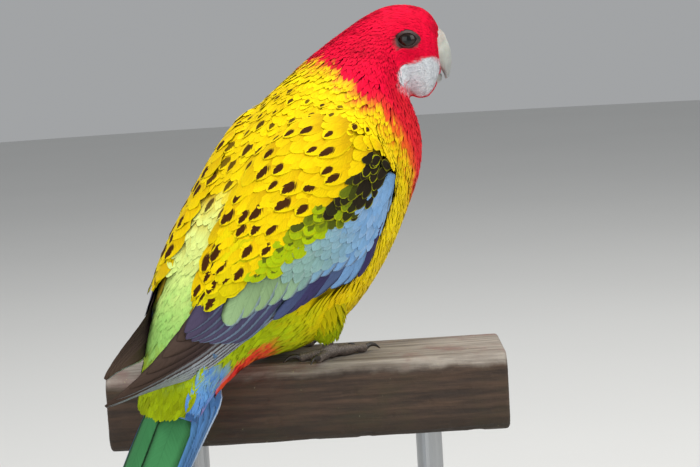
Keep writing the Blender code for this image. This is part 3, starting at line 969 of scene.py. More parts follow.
def straight_path(
    surface: Surface, a: Array, b: Array, length: Array, turn: Array, way: int = -1, least: float = 1e-3
) -> Array:
    """Paths that start at (a, b) and run towards lower or higher a, turned towards higher b.

    Args:
        surface: the surface.
        a, b: where the paths start.
        length: their lengths in millimetres.
        turn: degrees that they are turned by.
        way: -1 towards lower a, 1 towards higher a.
        least: smallest step of b that is believed, in millimetres.

    Returns:
        (n, 2, 2) surface places.
    """
    found = surface.read(a, b)
    on = way * np.cos(np.radians(turn)) * length / np.linalg.norm(found.step_a, axis=1)
    over = np.sin(np.radians(turn)) * length / np.maximum(np.linalg.norm(found.step_b, axis=1), least)
    return np.stack([stack(len(a), a, b), stack(len(a), a + on, b + over)], axis=1)


# ---- finishes ------------------------------------------------------------------------------
@dataclass(frozen=True)
class Value:
    """A number made by a node, so that sums of nodes can be written with signs."""

    nodes: "Nodes"
    socket: Socket

    def of(self, operation: str, *others: "Input") -> "Value":
        """The result of a Math node on this and others."""
        return self.nodes.math(operation, self, *others)

    def __add__(self, other: "Input") -> "Value":
        """This plus another."""
        return self.of("ADD", other)

    def __radd__(self, other: float) -> "Value":
        """A number plus this."""
        return self.nodes.math("ADD", other, self)

    def __sub__(self, other: "Input") -> "Value":
        """This less another."""
        return self.of("SUBTRACT", other)

    def __rsub__(self, other: float) -> "Value":
        """A number less this."""
        return self.nodes.math("SUBTRACT", other, self)

    def __mul__(self, other: "Input") -> "Value":
        """This times another."""
        return self.of("MULTIPLY", other)

    def __truediv__(self, other: "Input") -> "Value":
        """This over another."""
        return self.of("DIVIDE", other)

    def __pow__(self, power: float) -> "Value":
        """This to a power."""
        return self.of("POWER", power)


Input = Value | Socket | float | tuple | Array


class Nodes:
    """Short ways to build one material's nodes."""

    def __init__(self, name: str) -> None:
        """Starts a material with its Principled shader."""
        self.material = bpy.data.materials.new(name)
        self.material.use_nodes = True
        self.tree = self.material.node_tree
        self.shader = self.tree.nodes["Principled BSDF"]

    def put(self, socket: Socket, value: Input) -> None:
        """Links a socket to the input, or sets the input's own value."""
        value = getattr(value, "socket", value)
        if isinstance(value, bpy.types.NodeSocket):
            self.tree.links.new(value, socket)
        elif np.ndim(value) == 1 and len(value) == 3 and socket.type == "RGBA":
            socket.default_value = (*value, 1.0)
        else:
            socket.default_value = value

    def add(self, kind: str, *values: Input | None, **settings: object) -> bpy.types.Node:
        """A node of this kind.

        Args:
            kind: the node's type.
            values: its inputs in order, nothing where an input keeps its own value.
            settings: its properties by name.

        Returns:
            the node.
        """
        node = self.tree.nodes.new("ShaderNode" + kind)
        for key, value in settings.items():
            setattr(node, key, value)
        for socket, value in zip(node.inputs, values):
            if value is not None:
                self.put(socket, value)
        return node

    def math(self, operation: str, *values: Input) -> Value:
        """The result of a Math node."""
        return Value(self, self.add("Math", *values, operation=operation).outputs[0])

    def between(self, value: Input, low: float, high: float, start: float = 0.0, stop: float = 1.0) -> Value:
        """Value taken smoothly from low..high to start..stop."""
        node = self.add("MapRange", value, low, high, start, stop, interpolation_type="SMOOTHSTEP")
        return Value(self, node.outputs[0])

    def mix(self, share: Input, first: Input, second: Input, mode: str = "MIX") -> Socket:
        """Two colours mixed."""
        node = self.add("Mix", data_type="RGBA", blend_type=mode)
        self.put(node.inputs[0], share)
        self.put(node.inputs[6], first)
        self.put(node.inputs[7], second)
        return node.outputs[2]

    def noise(self, place: Socket, scale: float, detail: float = 2.0, roughness: float = 0.5) -> Value:
        """Noise of 0 to 1."""
        node = self.add("TexNoise")
        self.put(node.inputs["Vector"], place)
        node.inputs["Scale"].default_value = scale
        node.inputs["Detail"].default_value = detail
        node.inputs["Roughness"].default_value = roughness
        return Value(self, node.outputs[0])

    def layer(self, name: str) -> bpy.types.Node:
        """The mesh's attribute of this name."""
        return self.add("Attribute", attribute_name=name, attribute_type="GEOMETRY")

    def place(self, scale: tuple = (1.0, 1.0, 1.0), turn: float = 0.0) -> Socket:
        """Object coordinates, turned about Z by some degrees and scaled."""
        source = self.add("TexCoord").outputs["Object"]
        turned = self.add("VectorRotate", source, rotation_type="Z_AXIS")
        turned.inputs["Angle"].default_value = math.radians(turn)
        return self.add("Mapping", turned.outputs[0], None, None, scale).outputs[0]

    def split(self, vector: Socket) -> tuple[Value, ...]:
        """The three numbers of a vector."""
        return tuple(Value(self, socket) for socket in self.add("SeparateXYZ", vector).outputs)

    def numbers(self, name: str) -> tuple[Value, ...]:
        """The three numbers of the mesh's attribute of this name."""
        return self.split(self.layer(name).outputs["Vector"])

    def tinted(self, brightness: Value) -> Socket:
        """The mesh's own tint made lighter or darker by a number about 1."""
        return self.grey(self.layer("tint").outputs["Color"], brightness)

    def combine(self, x: Input, y: Input, z: Input) -> Socket:
        """A vector from three numbers."""
        return self.add("CombineXYZ", x, y, z).outputs[0]

    def grey(self, colour: Input, brightness: Value) -> Socket:
        """A colour made lighter or darker by a number about 1."""
        return self.mix(1.0, colour, brightness, mode="MULTIPLY")

    def finish(self, colour: Socket, roughness: Input, bump: Socket | None, depth: float) -> None:
        """Joins colour, roughness and bump to the shader.

        Args:
            colour: base colour.
            roughness: roughness.
            bump: height of 0 to 1, or nothing.
            depth: what a height of 1 stands for, in millimetres.
        """
        self.put(self.shader.inputs["Base Color"], colour)
        self.put(self.shader.inputs["Roughness"], roughness)
        if bump is not None:
            node = self.add("Bump")
            node.inputs["Strength"].default_value = 1.0
            node.inputs["Distance"].default_value = depth * MM
            self.put(node.inputs["Height"], bump)
            self.put(self.shader.inputs["Normal"], node.outputs[0])

    def constants(self, **values: float) -> None:
        """Sets the shader's own sockets, named with underscores for spaces."""
        for key, value in values.items():
            self.shader.inputs[key.replace("_", " ")].default_value = value


@dataclass(frozen=True)
class PlumageFinish:
    """Feathers: each vane's tint, its dark centre and its fringe, over fine slanting barbs.

    Attributes:
        name: the material's name.
        roughness: the shader's roughness.
        barb: how strongly barbs lighten and darken the vane.
        pitch: barbs per millimetre.
        relief: depth of the barbs in millimetres.
        sheen: strength of the soft light along the edge of the form.
    """

    name: str
    roughness: float = 0.62
    barb: float = 0.34
    pitch: float = 1.5
    relief: float = 0.10
    sheen: float = 0.01

    def build(self) -> Material:
        """Makes the material.

        Barbs leave the shaft slanting towards the tip, so they are noise read on the distance along
        the vane less 1.3 times the distance from the shaft. The spot is an ellipse in shares of
        length and width with an uneven rim. The fringe starts at a share of the half width.
        """
        nodes = Nodes(self.name)
        share, across, chance = nodes.numbers("vane")
        length, half, _ = nodes.numbers("span")
        middle, reach, breadth = nodes.numbers("spot")
        start, side, tip = nodes.numbers("lip")
        core, edge = nodes.layer("core"), nodes.layer("edge")
        out = across.of("ABSOLUTE")
        away = out * half
        slant = share * length - away * 1.3
        own_place = chance * 53.0 + across.of("SIGN") * 7.0
        barbs = nodes.noise(nodes.combine(slant * self.pitch, away * 0.12, own_place), 1.0, 3.0, 0.6)
        uneven = (barbs - 0.5) * 1.1
        along = (share - middle) / (reach + 0.001)
        over = across / (breadth + 0.001)
        far = (along**2.0 + over**2.0).of("SQRT")
        dark = nodes.between(far + uneven, 1.12, 0.82) * core.outputs["Alpha"]
        sided = across * side + out * (1.0 - side.of("ABSOLUTE"))
        outer = sided.of("MAXIMUM", share**3.0 * tip)
        fringe = nodes.between(outer + uneven * 0.16 - start, -0.03, 0.07) * edge.outputs["Alpha"]
        colour = nodes.mix(dark, nodes.layer("tint").outputs["Color"], core.outputs["Color"])
        colour = nodes.mix(fringe, colour, edge.outputs["Color"])
        shaft = nodes.between(away, 0.32, 0.08) * -0.10
        bright = 1.0 + ((barbs - 0.5) * (2.0 * self.barb) + (chance - 0.5) * 0.16 + shaft)
        nodes.finish(nodes.grey(colour, bright), self.roughness, barbs, self.relief)
        nodes.constants(Sheen_Weight=self.sheen, Sheen_Roughness=0.5, Specular_IOR_Level=0.05)
        return nodes.material


@dataclass(frozen=True)
class SkinFinish:
    """Skin under the coat, tinted as the feathers over it."""

    name: str = "skin_under_coat"

    def build(self) -> Material:
        """Makes the material: the tint, uneven by noise and pimpled where quills leave the skin."""
        nodes = Nodes(self.name)
        place = nodes.place()
        pimples = nodes.noise(place, 900.0, 3.0)
        cloud = nodes.noise(place, 120.0, 4.0)
        bright = nodes.between(cloud, 0.2, 0.8, 0.75, 1.0)
        nodes.finish(nodes.tinted(bright), 0.8, pimples, 0.25)
        return nodes.material


@dataclass(frozen=True)
class HornFinish:
    """Bill and claws: tinted horn with fine growth lines and a low shine."""

    name: str
    roughness: float = 0.38
    lines: float = 700.0

    def build(self) -> Material:
        """Makes the material: the tint with cloudy patches, faint streaks and fine scratches."""
        nodes = Nodes(self.name)
        place = nodes.place()
        cloud = nodes.noise(place, 260.0, 4.0, 0.6)
        streak = nodes.noise(nodes.place((1.0, 1.0, 0.25)), self.lines, 3.0, 0.6)
        patches = nodes.between(cloud, 0.25, 0.75, 0.84, 1.06)
        bright = patches + nodes.between(streak, 0.2, 0.8, -0.07, 0.07)
        rough = nodes.between(cloud, 0.3, 0.8, self.roughness - 0.08, self.roughness + 0.14)
        nodes.finish(nodes.tinted(bright), rough, streak, 0.06)
        nodes.constants(Subsurface_Weight=0.08, Subsurface_Scale=0.002)
        return nodes.material


@dataclass(frozen=True)
class EyeFinish:
    """Wet dark eye: brown iris, black pupil and a clear coat."""

    name: str = "eye_wet"

    def build(self) -> Material:
        """Makes the material: the tint with fine spokes under a clear coat."""
        nodes = Nodes(self.name)
        spokes = nodes.noise(nodes.place(), 1500.0, 3.0, 0.6)
        bright = nodes.between(spokes, 0.2, 0.8, 0.7, 1.25)
        nodes.finish(nodes.tinted(bright), 0.22, None, 0.0)
        nodes.constants(Coat_Weight=0.4, Coat_Roughness=0.03, Specular_IOR_Level=0.2)
        return nodes.material


@dataclass(frozen=True)
class BareSkinFinish:
    """Bare skin of the lids and feet: tinted, pebbled and slightly dusty in its folds."""

    name: str
    pebble: float
    relief: float
    dust: float = 0.35

    def build(self) -> Material:
        """Makes the material: rounded cells for the pebbles, darker in their seams."""
        nodes = Nodes(self.name)
        place = nodes.place()
        cells = nodes.add("TexVoronoi", feature="DISTANCE_TO_EDGE")
        nodes.put(cells.inputs["Vector"], place)
        cells.inputs["Scale"].default_value = self.pebble
        seams = nodes.between(cells.outputs["Distance"], 0.0, 0.22)
        cloud = nodes.noise(place, 300.0, 4.0, 0.6)
        colour = nodes.tinted(nodes.between(seams, 0.0, 1.0, 0.62, 1.08))
        dusty = nodes.mix(nodes.between(cloud, 0.45, 0.8, 0.0, self.dust), colour, srgb(150, 140, 128))
        nodes.finish(dusty, nodes.between(cloud, 0.2, 0.8, 0.5, 0.72), seams, self.relief)
        return nodes.material


@dataclass(frozen=True)
class TimberFinish:
    """Weathered rail: grey worn top with reddish streaks; dark brown sides, darker partly as painted shade, with
    moss and lichen; painted shade towards the underside.
    """

    name: str = "weathered_timber"
    turn: float = 40.0

    def build(self) -> Material:
        """Makes the material.

        Grain is noise drawn out along the rail. The sides' dark brown grows down from the rounded edge,
        broken by noise; it is darker than the top partly as painted shade. Farther down the sides darken
        again towards the underside as painted shade. Lichen is the tops of a finer noise.
        """
        nodes = Nodes(self.name)
        grain_place = nodes.place((30.0, 420.0, 420.0), self.turn)
        place = nodes.place((1.0, 1.0, 1.0), self.turn)
        grain = nodes.noise(grain_place, 1.0, 5.0, 0.65)
        cloud = nodes.noise(place, 45.0, 5.0, 0.6)
        fine = nodes.noise(place, 420.0, 4.0, 0.65)
        height = nodes.split(nodes.add("TexCoord").outputs["Object"])[2]
        worn = nodes.mix(nodes.between(grain, 0.3, 0.7), srgb(104, 94, 84), srgb(158, 150, 140))
        worn = nodes.mix(nodes.between(cloud, 0.52, 0.68, 0.0, 0.55), worn, srgb(118, 80, 74))
        # dark brown of the sides with moss patches; part of its darkness is painted shade
        side_wood_and_shade = nodes.mix(nodes.between(grain, 0.3, 0.75), srgb(46, 33, 24), srgb(88, 68, 54))
        side_wood_and_shade = nodes.mix(nodes.between(cloud, 0.45, 0.75, 0.0, 0.6), side_wood_and_shade, srgb(58, 54, 30))
        edge = height + (cloud - 0.5) * 0.008
        # below the rounded edge the sides take the dark brown: partly painted shade
        low = nodes.between(edge, (PERCH_TOP - 2.0) * MM, (PERCH_TOP - 5.5) * MM)
        colour = nodes.mix(low, worn, side_wood_and_shade)
        # painted shade: darkens the sides towards the underside
        deep = nodes.between(edge, (PERCH_TOP - 16.0) * MM, (PERCH_TOP - 30.0) * MM, 0.0, 0.55)
        colour = nodes.mix(deep, colour, srgb(30, 24, 14))
        lichen = nodes.between(fine, 0.66, 0.72, 0.0, 0.7)
        colour = nodes.mix(lichen * nodes.between(cloud, 0.5, 0.62), colour, srgb(168, 166, 128))
        rough = nodes.between(grain, 0.2, 0.8, 0.7, 0.92)
        nodes.finish(colour, rough, grain * 0.6 + fine * 0.4, 0.9)
        return nodes.material


@dataclass(frozen=True)
class StandFinish:
    """Satin painted or brushed metal of the display stand."""

    name: str
    colour: tuple
    metallic: float
    roughness: float
    grain: tuple

    def build(self) -> Material:
        """Makes the material: one colour, faintly uneven, with fine brush marks or orange peel."""
        nodes = Nodes(self.name)
        marks = nodes.noise(nodes.place(self.grain), 1.0, 3.0, 0.6)
        cloud = nodes.noise(nodes.place(), 35.0, 3.0)
        patches = nodes.between(cloud, 0.3, 0.7, 0.94, 1.0)
        bright = patches + nodes.between(marks, 0.2, 0.8, -0.03, 0.03)
        rough = nodes.between(marks, 0.2, 0.8, self.roughness - 0.06, self.roughness + 0.08)
        nodes.finish(nodes.grey(srgb(*self.colour), bright), rough, marks, 0.02)
        nodes.constants(Metallic=self.metallic)
        return nodes.material


@dataclass(frozen=True)
class FloorFinish:
    """Plain pale studio floor."""

    name: str = "studio_floor"

    def build(self) -> Material:
        """Makes the material: pale grey with the faintest cloud."""
        nodes = Nodes(self.name)
        cloud = nodes.noise(nodes.place(), 3.0, 3.0)
        bright = nodes.between(cloud, 0.3, 0.7, 0.985, 1.0)
        nodes.finish(nodes.grey(srgb(214, 214, 212), bright), 0.85, None, 0.0)
        return nodes.material


# ---- markings ------------------------------------------------------------------------------
@dataclass(frozen=True)
class Markings:
    """Where each colour lies on the body, for the skin and the coat alike.

    Attributes:
        body: the body's shape.
        ink: the colours.
        hood: where the red hood ends: angles from the back, and the station at each.
        cheek_centre: the white cheek's middle, ahead of and above the head's centre.
        eye_centre: the same for the eye.
        lid_half: half axes of the ring that stays free of feathers.
    """

    body: BodyShape
    ink: Palette
    hood: tuple = (
        (0, 7.05), (25, 6.9), (45, 6.68), (70, 6.6), (86, 6.72), (104, 6.55), (125, 6.4), (145, 6.1), (180, 5.4),
    )
    cheek_centre: tuple = (5.8, -12.9)
    eye_centre: tuple = (0.9, 2.1)
    lid_half: tuple = (4.3, 3.4)

    def cheek(self, places: Array) -> Array:
        """1 inside the white cheek patch and 0 outside it.

        Its outline round the centre is 8.0 + 0.3 cos 2t + 0.2 sin 2t - 0.9 cos 3t + 0.8 sin 3t.
        """
        ahead, left, above = np.moveaxis(self.body.in_head(places), -1, 0)
        x, y = ahead - self.cheek_centre[0], above - self.cheek_centre[1]
        t = np.arctan2(y, x)
        radius = 8.0 + 0.3 * np.cos(2 * t) + 0.2 * np.sin(2 * t) - 0.9 * np.cos(3 * t) + 0.8 * np.sin(3 * t)
        inside = smooth(0.5, -0.5, np.hypot(x, y) - radius)
        return inside * smooth(2.5, 4.5, np.abs(left))

    def lids(self, places: Array) -> Array:
        """Distance from the eye's middle in shares of the lid ring's half axes."""
        ahead, left, above = np.moveaxis(self.body.in_head(places), -1, 0)
        x = (ahead - self.eye_centre[0]) / self.lid_half[0]
        y = (above - self.eye_centre[1]) / self.lid_half[1]
        return np.hypot(x, y) + np.where(np.abs(left) < 7.0, 10.0, 0.0)

    def hood_share(self, a: Array, b: Array, places: Array) -> Array:
        """1 on the red hood and breast, 0 behind and below it, with an uneven edge."""
        angle, edge = np.array(self.hood).T
        line = np.interp(np.abs(b), angle, edge) + 0.09 * ripple(places, 6.0, 3) + 0.05 * ripple(places, 2.5, 4)
        return smooth(-0.10, 0.10, a - line)

    def tint(self, a: Array, b: Array, places: Array) -> Array:
        """Colour at surface places.

        Args:
            a: stations from the tail's root.
            b: degrees from the back.
            places: the points there.

        Returns:
            (..., 3) colours.
        """
        ink, low = self.ink, np.abs(b)
        cloud = ripple(places, 16.0, 11) * 0.5 + ripple(places, 5.0, 12) * 0.5
        back = blend(ink.yellow, ink.yellow_deep, np.clip(0.35 + 0.4 * cloud, 0, 1))
        belly = blend(ink.yellow, ink.yellow_deep, np.clip(0.4 + 0.4 * cloud, 0, 1))
        greening = smooth(3.9, 2.3, a + 0.25 * cloud)
        belly = blend(belly, blend(ink.lime, ink.olive, np.clip(0.4 + 0.5 * cloud, 0, 1)), greening)
        rump = blend(ink.lime_pale, ink.lime_green, smooth(2.9, 1.5, a + 0.2 * cloud))
        base = blend(ink.lime, ink.olive, np.clip(0.35 + 0.5 * cloud, 0, 1))
        rump = blend(rump, base, smooth(1.35, 0.85, a + 0.15 * cloud))
        rump = blend(back, rump, smooth(3.9, 3.2, a + 0.2 * cloud))
        tint = blend(rump, belly, smooth(50.0, 78.0, low))
        flank = smooth(1.35, 1.25, a) * smooth(84.0, 87.0, low)
        tint = blend(tint, blend(ink.blue, ink.blue_deep, np.clip(0.4 + 0.3 * cloud, 0, 1)), flank)
        vent = smooth(2.5, 2.2, a + 0.1 * cloud) * smooth(120.0, 130.0, low)
        tint = blend(tint, blend(ink.red_warm, ink.orange, np.clip(0.2 + 0.3 * cloud, 0, 1)), vent)
        hood = blend(ink.red, ink.red_deep, np.clip(0.25 + 0.45 * cloud, 0, 1))
        hood = blend(hood, ink.red_warm, 0.7 * smooth(80.0, 120.0, low) * smooth(8.6, 7.4, a))
        line = np.interp(low, *np.array(self.hood).T)
        fringe = smooth(0.45, 0.0, a - line) * smooth(60.0, 110.0, low)
        hood = blend(hood, ink.orange, 0.75 * fringe)
        share = self.hood_share(a, b, places)
        tint = blend(tint, hood, share)
        cheek = self.cheek(places)
        chalk = blend(ink.white, srgb(196, 202, 210), np.clip(0.2 + 0.4 * ripple(places, 2.2, 15), 0, 1))
        tint = blend(tint, chalk, cheek)
        return blend(tint, ink.skin, smooth(1.12, 0.95, self.lids(places)))


def coat_depth(a: Array) -> Array:
    """How deep the coat is at a station, deepest over the trunk and thinnest on the face."""
    return np.interp(a, (0.0, 6.0, 8.0, 9.0, 12.0, 14.0), (2.4, 2.2, 1.6, 1.2, 0.8, 0.5))


# ---- skin ----------------------------------------------------------------------------------
@dataclass(frozen=True)
class Legs:
    """Both legs: a feathered thigh over a short bare shank, path and radii above each foot."""

    spread: float = 14.0
    path: tuple = (
        (-4.0, 0.0, 27.0), (-3.0, 0.0, 22.0), (-2.0, 0.0, 15.0), (-1.0, 0.0, 10.5), (-0.5, 0.0, 8.0),
        (0.0, 0.0, 4.2),
    )
    radii: tuple = (4.6, 4.8, 4.0, 2.9, 2.0, 1.7)

    def rings(self, side: int, around: int = 24, count: int = 26) -> Array:
        """Round sections down one leg.

        Args:
            side: 1 for the left leg, -1 for the right.
            around: points in a ring.
            count: rings.

        Returns:
            (count, around, 3) points.
        """
        rows = smooth_curve(np.column_stack([self.path, self.radii]), count)
        centre = rows[:, :3] + np.array([0.0, self.spread * side, 0.0])
        return tube_rings(centre, rows[:, 3], around, np.array([1.0, 0.0, 0.0]))

    def surface(self, side: int) -> Surface:
        """The leg's outer surface over a, 0 at the foot and 1 at the top, and b in degrees."""
        rings = self.rings(side, 36, 31)[::-1]
        closed = np.concatenate([rings, rings[:, :1]], axis=1)
        return Surface(closed, (0.0, 1.0), (-180.0, 180.0), True, rings.mean(axis=1))


@dataclass(frozen=True)
class Skin:
    """One skin over head, neck, trunk, rump and legs, inside the coat by its depth."""

    markings: Markings
    rows: int = 180
    around: int = 150

    def build(self, surface: Surface, legs: Legs) -> None:
        """Makes the skin: the body's surface moved inwards by the coat's depth, and the legs.

        Args:
            surface: the body's outer surface.
            legs: the legs.
        """
        a = np.linspace(0.0, surface.a_ends[1], self.rows)
        b = np.linspace(-180.0, 180.0, self.around, endpoint=False)
        grid_a, grid_b = np.meshgrid(a, b, indexing="ij")
        found = surface.read(grid_a, grid_b)
        inner = found.points - found.normals * (coat_depth(grid_a) * 1.02)[..., None]
        tints = [capped(self.markings.tint(grid_a, grid_b, found.points)[:, ::-1])]
        shanks = [legs.rings(side) for side in (1, -1)]
        for rings in shanks:
            bare = smooth(13.0, 9.0, capped(rings)[:, 2])
            tints.append(blend(self.markings.ink.lime, self.markings.ink.skin, bare))
        thing = solid_from_tubes("skin", [inner[:, ::-1], *shanks])
        tinted(thing, np.concatenate(tints), SkinFinish().build())
        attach(thing, "root")
        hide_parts("head", "neck", "trunk", "rump", "leg_left", "leg_right")


# ---- coat of the body ----------------------------------------------------------------------
@dataclass(frozen=True)
class CoatPatch:
    """One piece of the body's coat.

    Attributes:
        name: the piece's name.
        slot: the name of a material slot; not used.
        cut: the feathers' cut.
        a_ends: first and last station.
        b_ends: least and greatest angle from the back, alike on both sides.
        cover: how many feathers lie over each place.
        slim: width as a share of the length.
        loose: how unevenly the feathers lie, in degrees.
        spotted: whether the feathers have dark centres.
        ragged: share of the coat's depth by which tips stand out.
        tucked: whether the feathers run in under the wings, and do not lap over them.
        rim: strength of the lighter rim.
    """

    name: str
    slot: str
    cut: Cut
    a_ends: tuple
    b_ends: tuple
    cover: float
    slim: float
    loose: float = 5.0
    spotted: bool = False
    ragged: float = 0.12
    tucked: bool = False
    rim: float = 0.4


COAT = (
    CoatPatch("coat_head", "plumage_red", Cut.DOWN, (9.0, 13.7), (0.0, 180.0), 4.9, 0.33, 6.0, ragged=0.06),
    CoatPatch("coat_hood", "plumage_red", Cut.DOWN, (7.6, 9.05), (0.0, 180.0), 4.8, 0.34, 5.0, ragged=0.06),
    CoatPatch("coat_neck", "plumage_red", Cut.CONTOUR, (6.2, 7.65), (0.0, 180.0), 4.4, 0.38, 4.0, ragged=0.06),
    CoatPatch(
        "coat_mantle", "plumage_yellow", Cut.MANTLE, (2.9, 6.6), (0.0, 90.0), 4.6, 0.56, 4.0, True, 0.04, rim=0.2
    ),
    CoatPatch("coat_breast", "plumage_yellow", Cut.CONTOUR, (3.4, 6.3), (60.0, 180.0), 7.5, 0.50, 4.0, ragged=0.04),
    CoatPatch(
        "coat_belly", "plumage_green", Cut.PLUME, (0.1, 3.5), (62.0, 180.0), 7.6, 0.42, 5.0, ragged=0.06, tucked=True
    ),
    CoatPatch(
        "coat_rump", "plumage_green", Cut.CONTOUR, (0.1, 3.3), (0.0, 96.0), 8.0, 0.40, 3.0,
        ragged=0.03, tucked=True, rim=0.2,
    ),
)
MANTLE_EDGE = (
    (2.6, 27.0), (3.4, 31.0), (4.1, 34.0), (4.85, 43.0), (5.6, 60.0), (6.0, 84.0), (6.4, 84.0), (6.6, 76.0),
)
SHADED_ROOT = srgb(235, 218, 190)
ROOT_SLOPE = 14.6  # millimetres of body per station near the tail's root


@dataclass
class BodyCoat:
    """The feathers of head, neck, trunk and rump.

    Attributes:
        surface: the body's outer surface, raised over the wings.
        ground: the same surface, not raised.
        raised: how far it is raised at its grid points.
        markings: the colours.
        chance: random source.
    """

    surface: Surface
    ground: Surface
    raised: Array
    markings: Markings
    chance: Chance

    def length(self, a: Array, b: Array) -> Array:
        """Length of the feathers at a station: long on the trunk and very short on the face.

        Args:
            a: stations.
            b: angles from the back.

        Returns:
            lengths in millimetres.
        """
        stations = (0.0, 2.0, 4.0, 5.0, 6.0, 7.0, 8.0, 9.0, 10.0, 11.0, 12.0, 13.0, 14.0)
        on_back = (9.0, 10.5, 13.0, 12.5, 10.0, 6.6, 4.4, 3.3, 2.9, 2.6, 2.2, 1.7, 1.4)
        in_front = (10.0, 12.0, 9.5, 8.5, 7.5, 6.2, 4.4, 3.3, 2.9, 2.6, 2.2, 1.7, 1.4)
        low = np.abs(b)
        share = smooth(60.0, 110.0, low)
        length = np.interp(a, stations, on_back) * (1 - share) + np.interp(a, stations, in_front) * share
        past = np.interp(low, (0.0, 50.0, 80.0, 125.0, 135.0, 150.0), (4.0, 1.0, -3.0, -3.0, -14.0, 4.0))
        return np.maximum(np.minimum(length, ROOT_SLOPE * a + past), 1.0)

    def roots(self, patch: CoatPatch) -> tuple[Array, Array]:
        """Where a patch's feathers leave the skin: none in the lids or under the wings.

        Args:
            patch: the patch.

        Returns:
            stations and angles from the back.
        """
        a, b = self.surface.grid(SCATTER_GRID)
        length = self.length(a, b)
        density = patch.cover / (length**2 * patch.slim * VANE_AREA)
        low = np.abs(b)
        density = density * ((a >= patch.a_ends[0]) & (a <= patch.a_ends[1]))
        density = density * ((low >= patch.b_ends[0]) & (low <= patch.b_ends[1]))
        places = self.surface.read(a, b).points
        density = density * (self.markings.lids(places) > 1.0)
        if patch.spotted:
            edge = np.array(MANTLE_EDGE)
            density = density * (low <= np.interp(a, edge[:, 0], edge[:, 1]))
        elif not patch.tucked:
            density = density * (self.raising(a, b) < 1.7)
        density = density * ((a > 1.45) | (low < 124.0) | (low > 145.0))
        return scatter(self.under(patch), density, self.chance)

    def under(self, patch: CoatPatch) -> Surface:
        """The surface that a patch lies on."""
        return self.ground if patch.tucked else self.surface

    def raising(self, a: Array, b: Array) -> Array:
        """How far the surface is raised over the wings at some places."""
        cells = zip(self.surface.cell_at(a, b), self.raised.shape)
        return self.raised[tuple(np.clip(np.round(at).astype(int), 0, count - 1) for at, count in cells)]

    def clear_lids(self, path: Array) -> Array:
        """Share of each path that stays outside the lid ring."""
        shares = np.linspace(0.2, 1.0, 5)
        way = path[:, None, 0] + (path[:, None, 1] - path[:, None, 0]) * shares[None, :, None]
        near = self.markings.lids(self.surface.read(way[..., 0], way[..., 1]).points) < 0.97
        first = np.where(near.any(axis=1), near.argmax(axis=1), len(shares))
        return np.where(first == len(shares), 1.0, np.maximum(first, 0.6) * 0.2)

    def spots(self, a: Array, b: Array) -> tuple[Array, Array]:
        """Dark centres of the mantle: small by the neck, longer down the back, missing on some.

        Args:
            a: stations.
            b: angles from the back.

        Returns:
            colours with strengths, and places with half sizes.
        """
        count = len(a)
        down = smooth(6.6, 4.2, a)
        strength = smooth(3.25, 3.75, a) * smooth(6.8, 6.45, a)
        strength = strength * ((a > 3.9) | (np.abs(b) > 24.0)) * (np.arange(count) < 0.18 * count)
        strength = strength * self.chance.uniform(0.85, 1.0, count)
        size = self.chance.uniform(0.8, 1.35, count)
        spot = stack(count, 0.80 - 0.04 * down, (0.15 + 0.09 * down) * size, (0.52 - 0.04 * down) * size)
        return inked(self.markings.ink.spot, strength), spot

    def tract(self, patch: CoatPatch) -> Tract:
        """One patch's feathers, each running back from its root and stopping short of the lids.

        Args:
            patch: the patch.

        Returns:
            its feathers.
        """
        a, b = self.roots(patch)
        count, chance = len(a), self.chance
        surface = self.under(patch)
        length = self.length(a, b) * chance.uniform(0.88, 1.12, count)
        path = straight_path(surface, a, b, length, chance.normal(0.0, patch.loose, count))
        keep = self.clear_lids(path)
        path[:, 1] = path[:, 0] + (path[:, 1] - path[:, 0]) * keep[:, None]
        depth = coat_depth(a)
        tip_height = depth * chance.uniform(-patch.ragged, patch.ragged, count)
        tip_height = tip_height + (0.15 if patch.spotted else -0.05)
        core, spot = self.spots(a, b) if patch.spotted else (0.0, 0.0)
        if patch.spotted:
            tip_height = tip_height + 0.3 * (core[:, 3] > 0)
        sunk = 0.5 if patch.spotted else 0.7
        lift = stack(count, -sunk * depth - 0.5 * self.raising(a, b) * (not patch.tucked), tip_height)
        tint = self.markings.tint(a, b, surface.read(a, b).points)
        if patch.spotted:
            tint = tint * SHADED_ROOT
        tip = self.markings.tint(path[:, 1, 0], b, surface.read(path[:, 1, 0], path[:, 1, 1]).points)
        roll = chance.normal(0.0, patch.loose, count)
        return Tract(
            patch.cut, path, length * patch.slim * (0.5 + 0.5 * keep), lift, tint, tip, roll, core, spot,
            self.fringe(patch, a, b, tip), (0.78, 0.0, 0.9), WIDE_PATCH if patch.spotted else FINE_PATCH,
        )

    def fringe(self, patch: CoatPatch, a: Array, b: Array, tip: Array) -> Array:
        """A slightly lighter rim, as the loose barbs of a vane's edge have, whitish on some of the belly.

        Args:
            patch: the patch.
            a: stations.
            b: angles from the back.
            tip: (n, 3) colours at the tips.

        Returns:
            (n, 4) colours with strengths.
        """
        light, low = np.clip(tip * 1.18 + 0.015, 0.0, 1.0), np.abs(b)
        pale = (patch.name == "coat_belly") * (self.chance.random(len(a)) < 0.2)
        pale = pale * smooth(2.2, 1.2, a) * smooth(95.0, 105.0, low) * smooth(150.0, 105.0, low)
        return inked(blend(light, self.markings.ink.white, pale), patch.rim)

    def build(self) -> None:
        """Makes every patch."""
        finish = PlumageFinish("plumage").build()
        for patch in COAT:
            laid = lay(self.under(patch), self.tract(patch), self.chance)
            thing = dress(patch.name, [laid], finish)
            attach(thing, "root")
            log.info("%s: %d feathers", patch.name, len(laid.points))


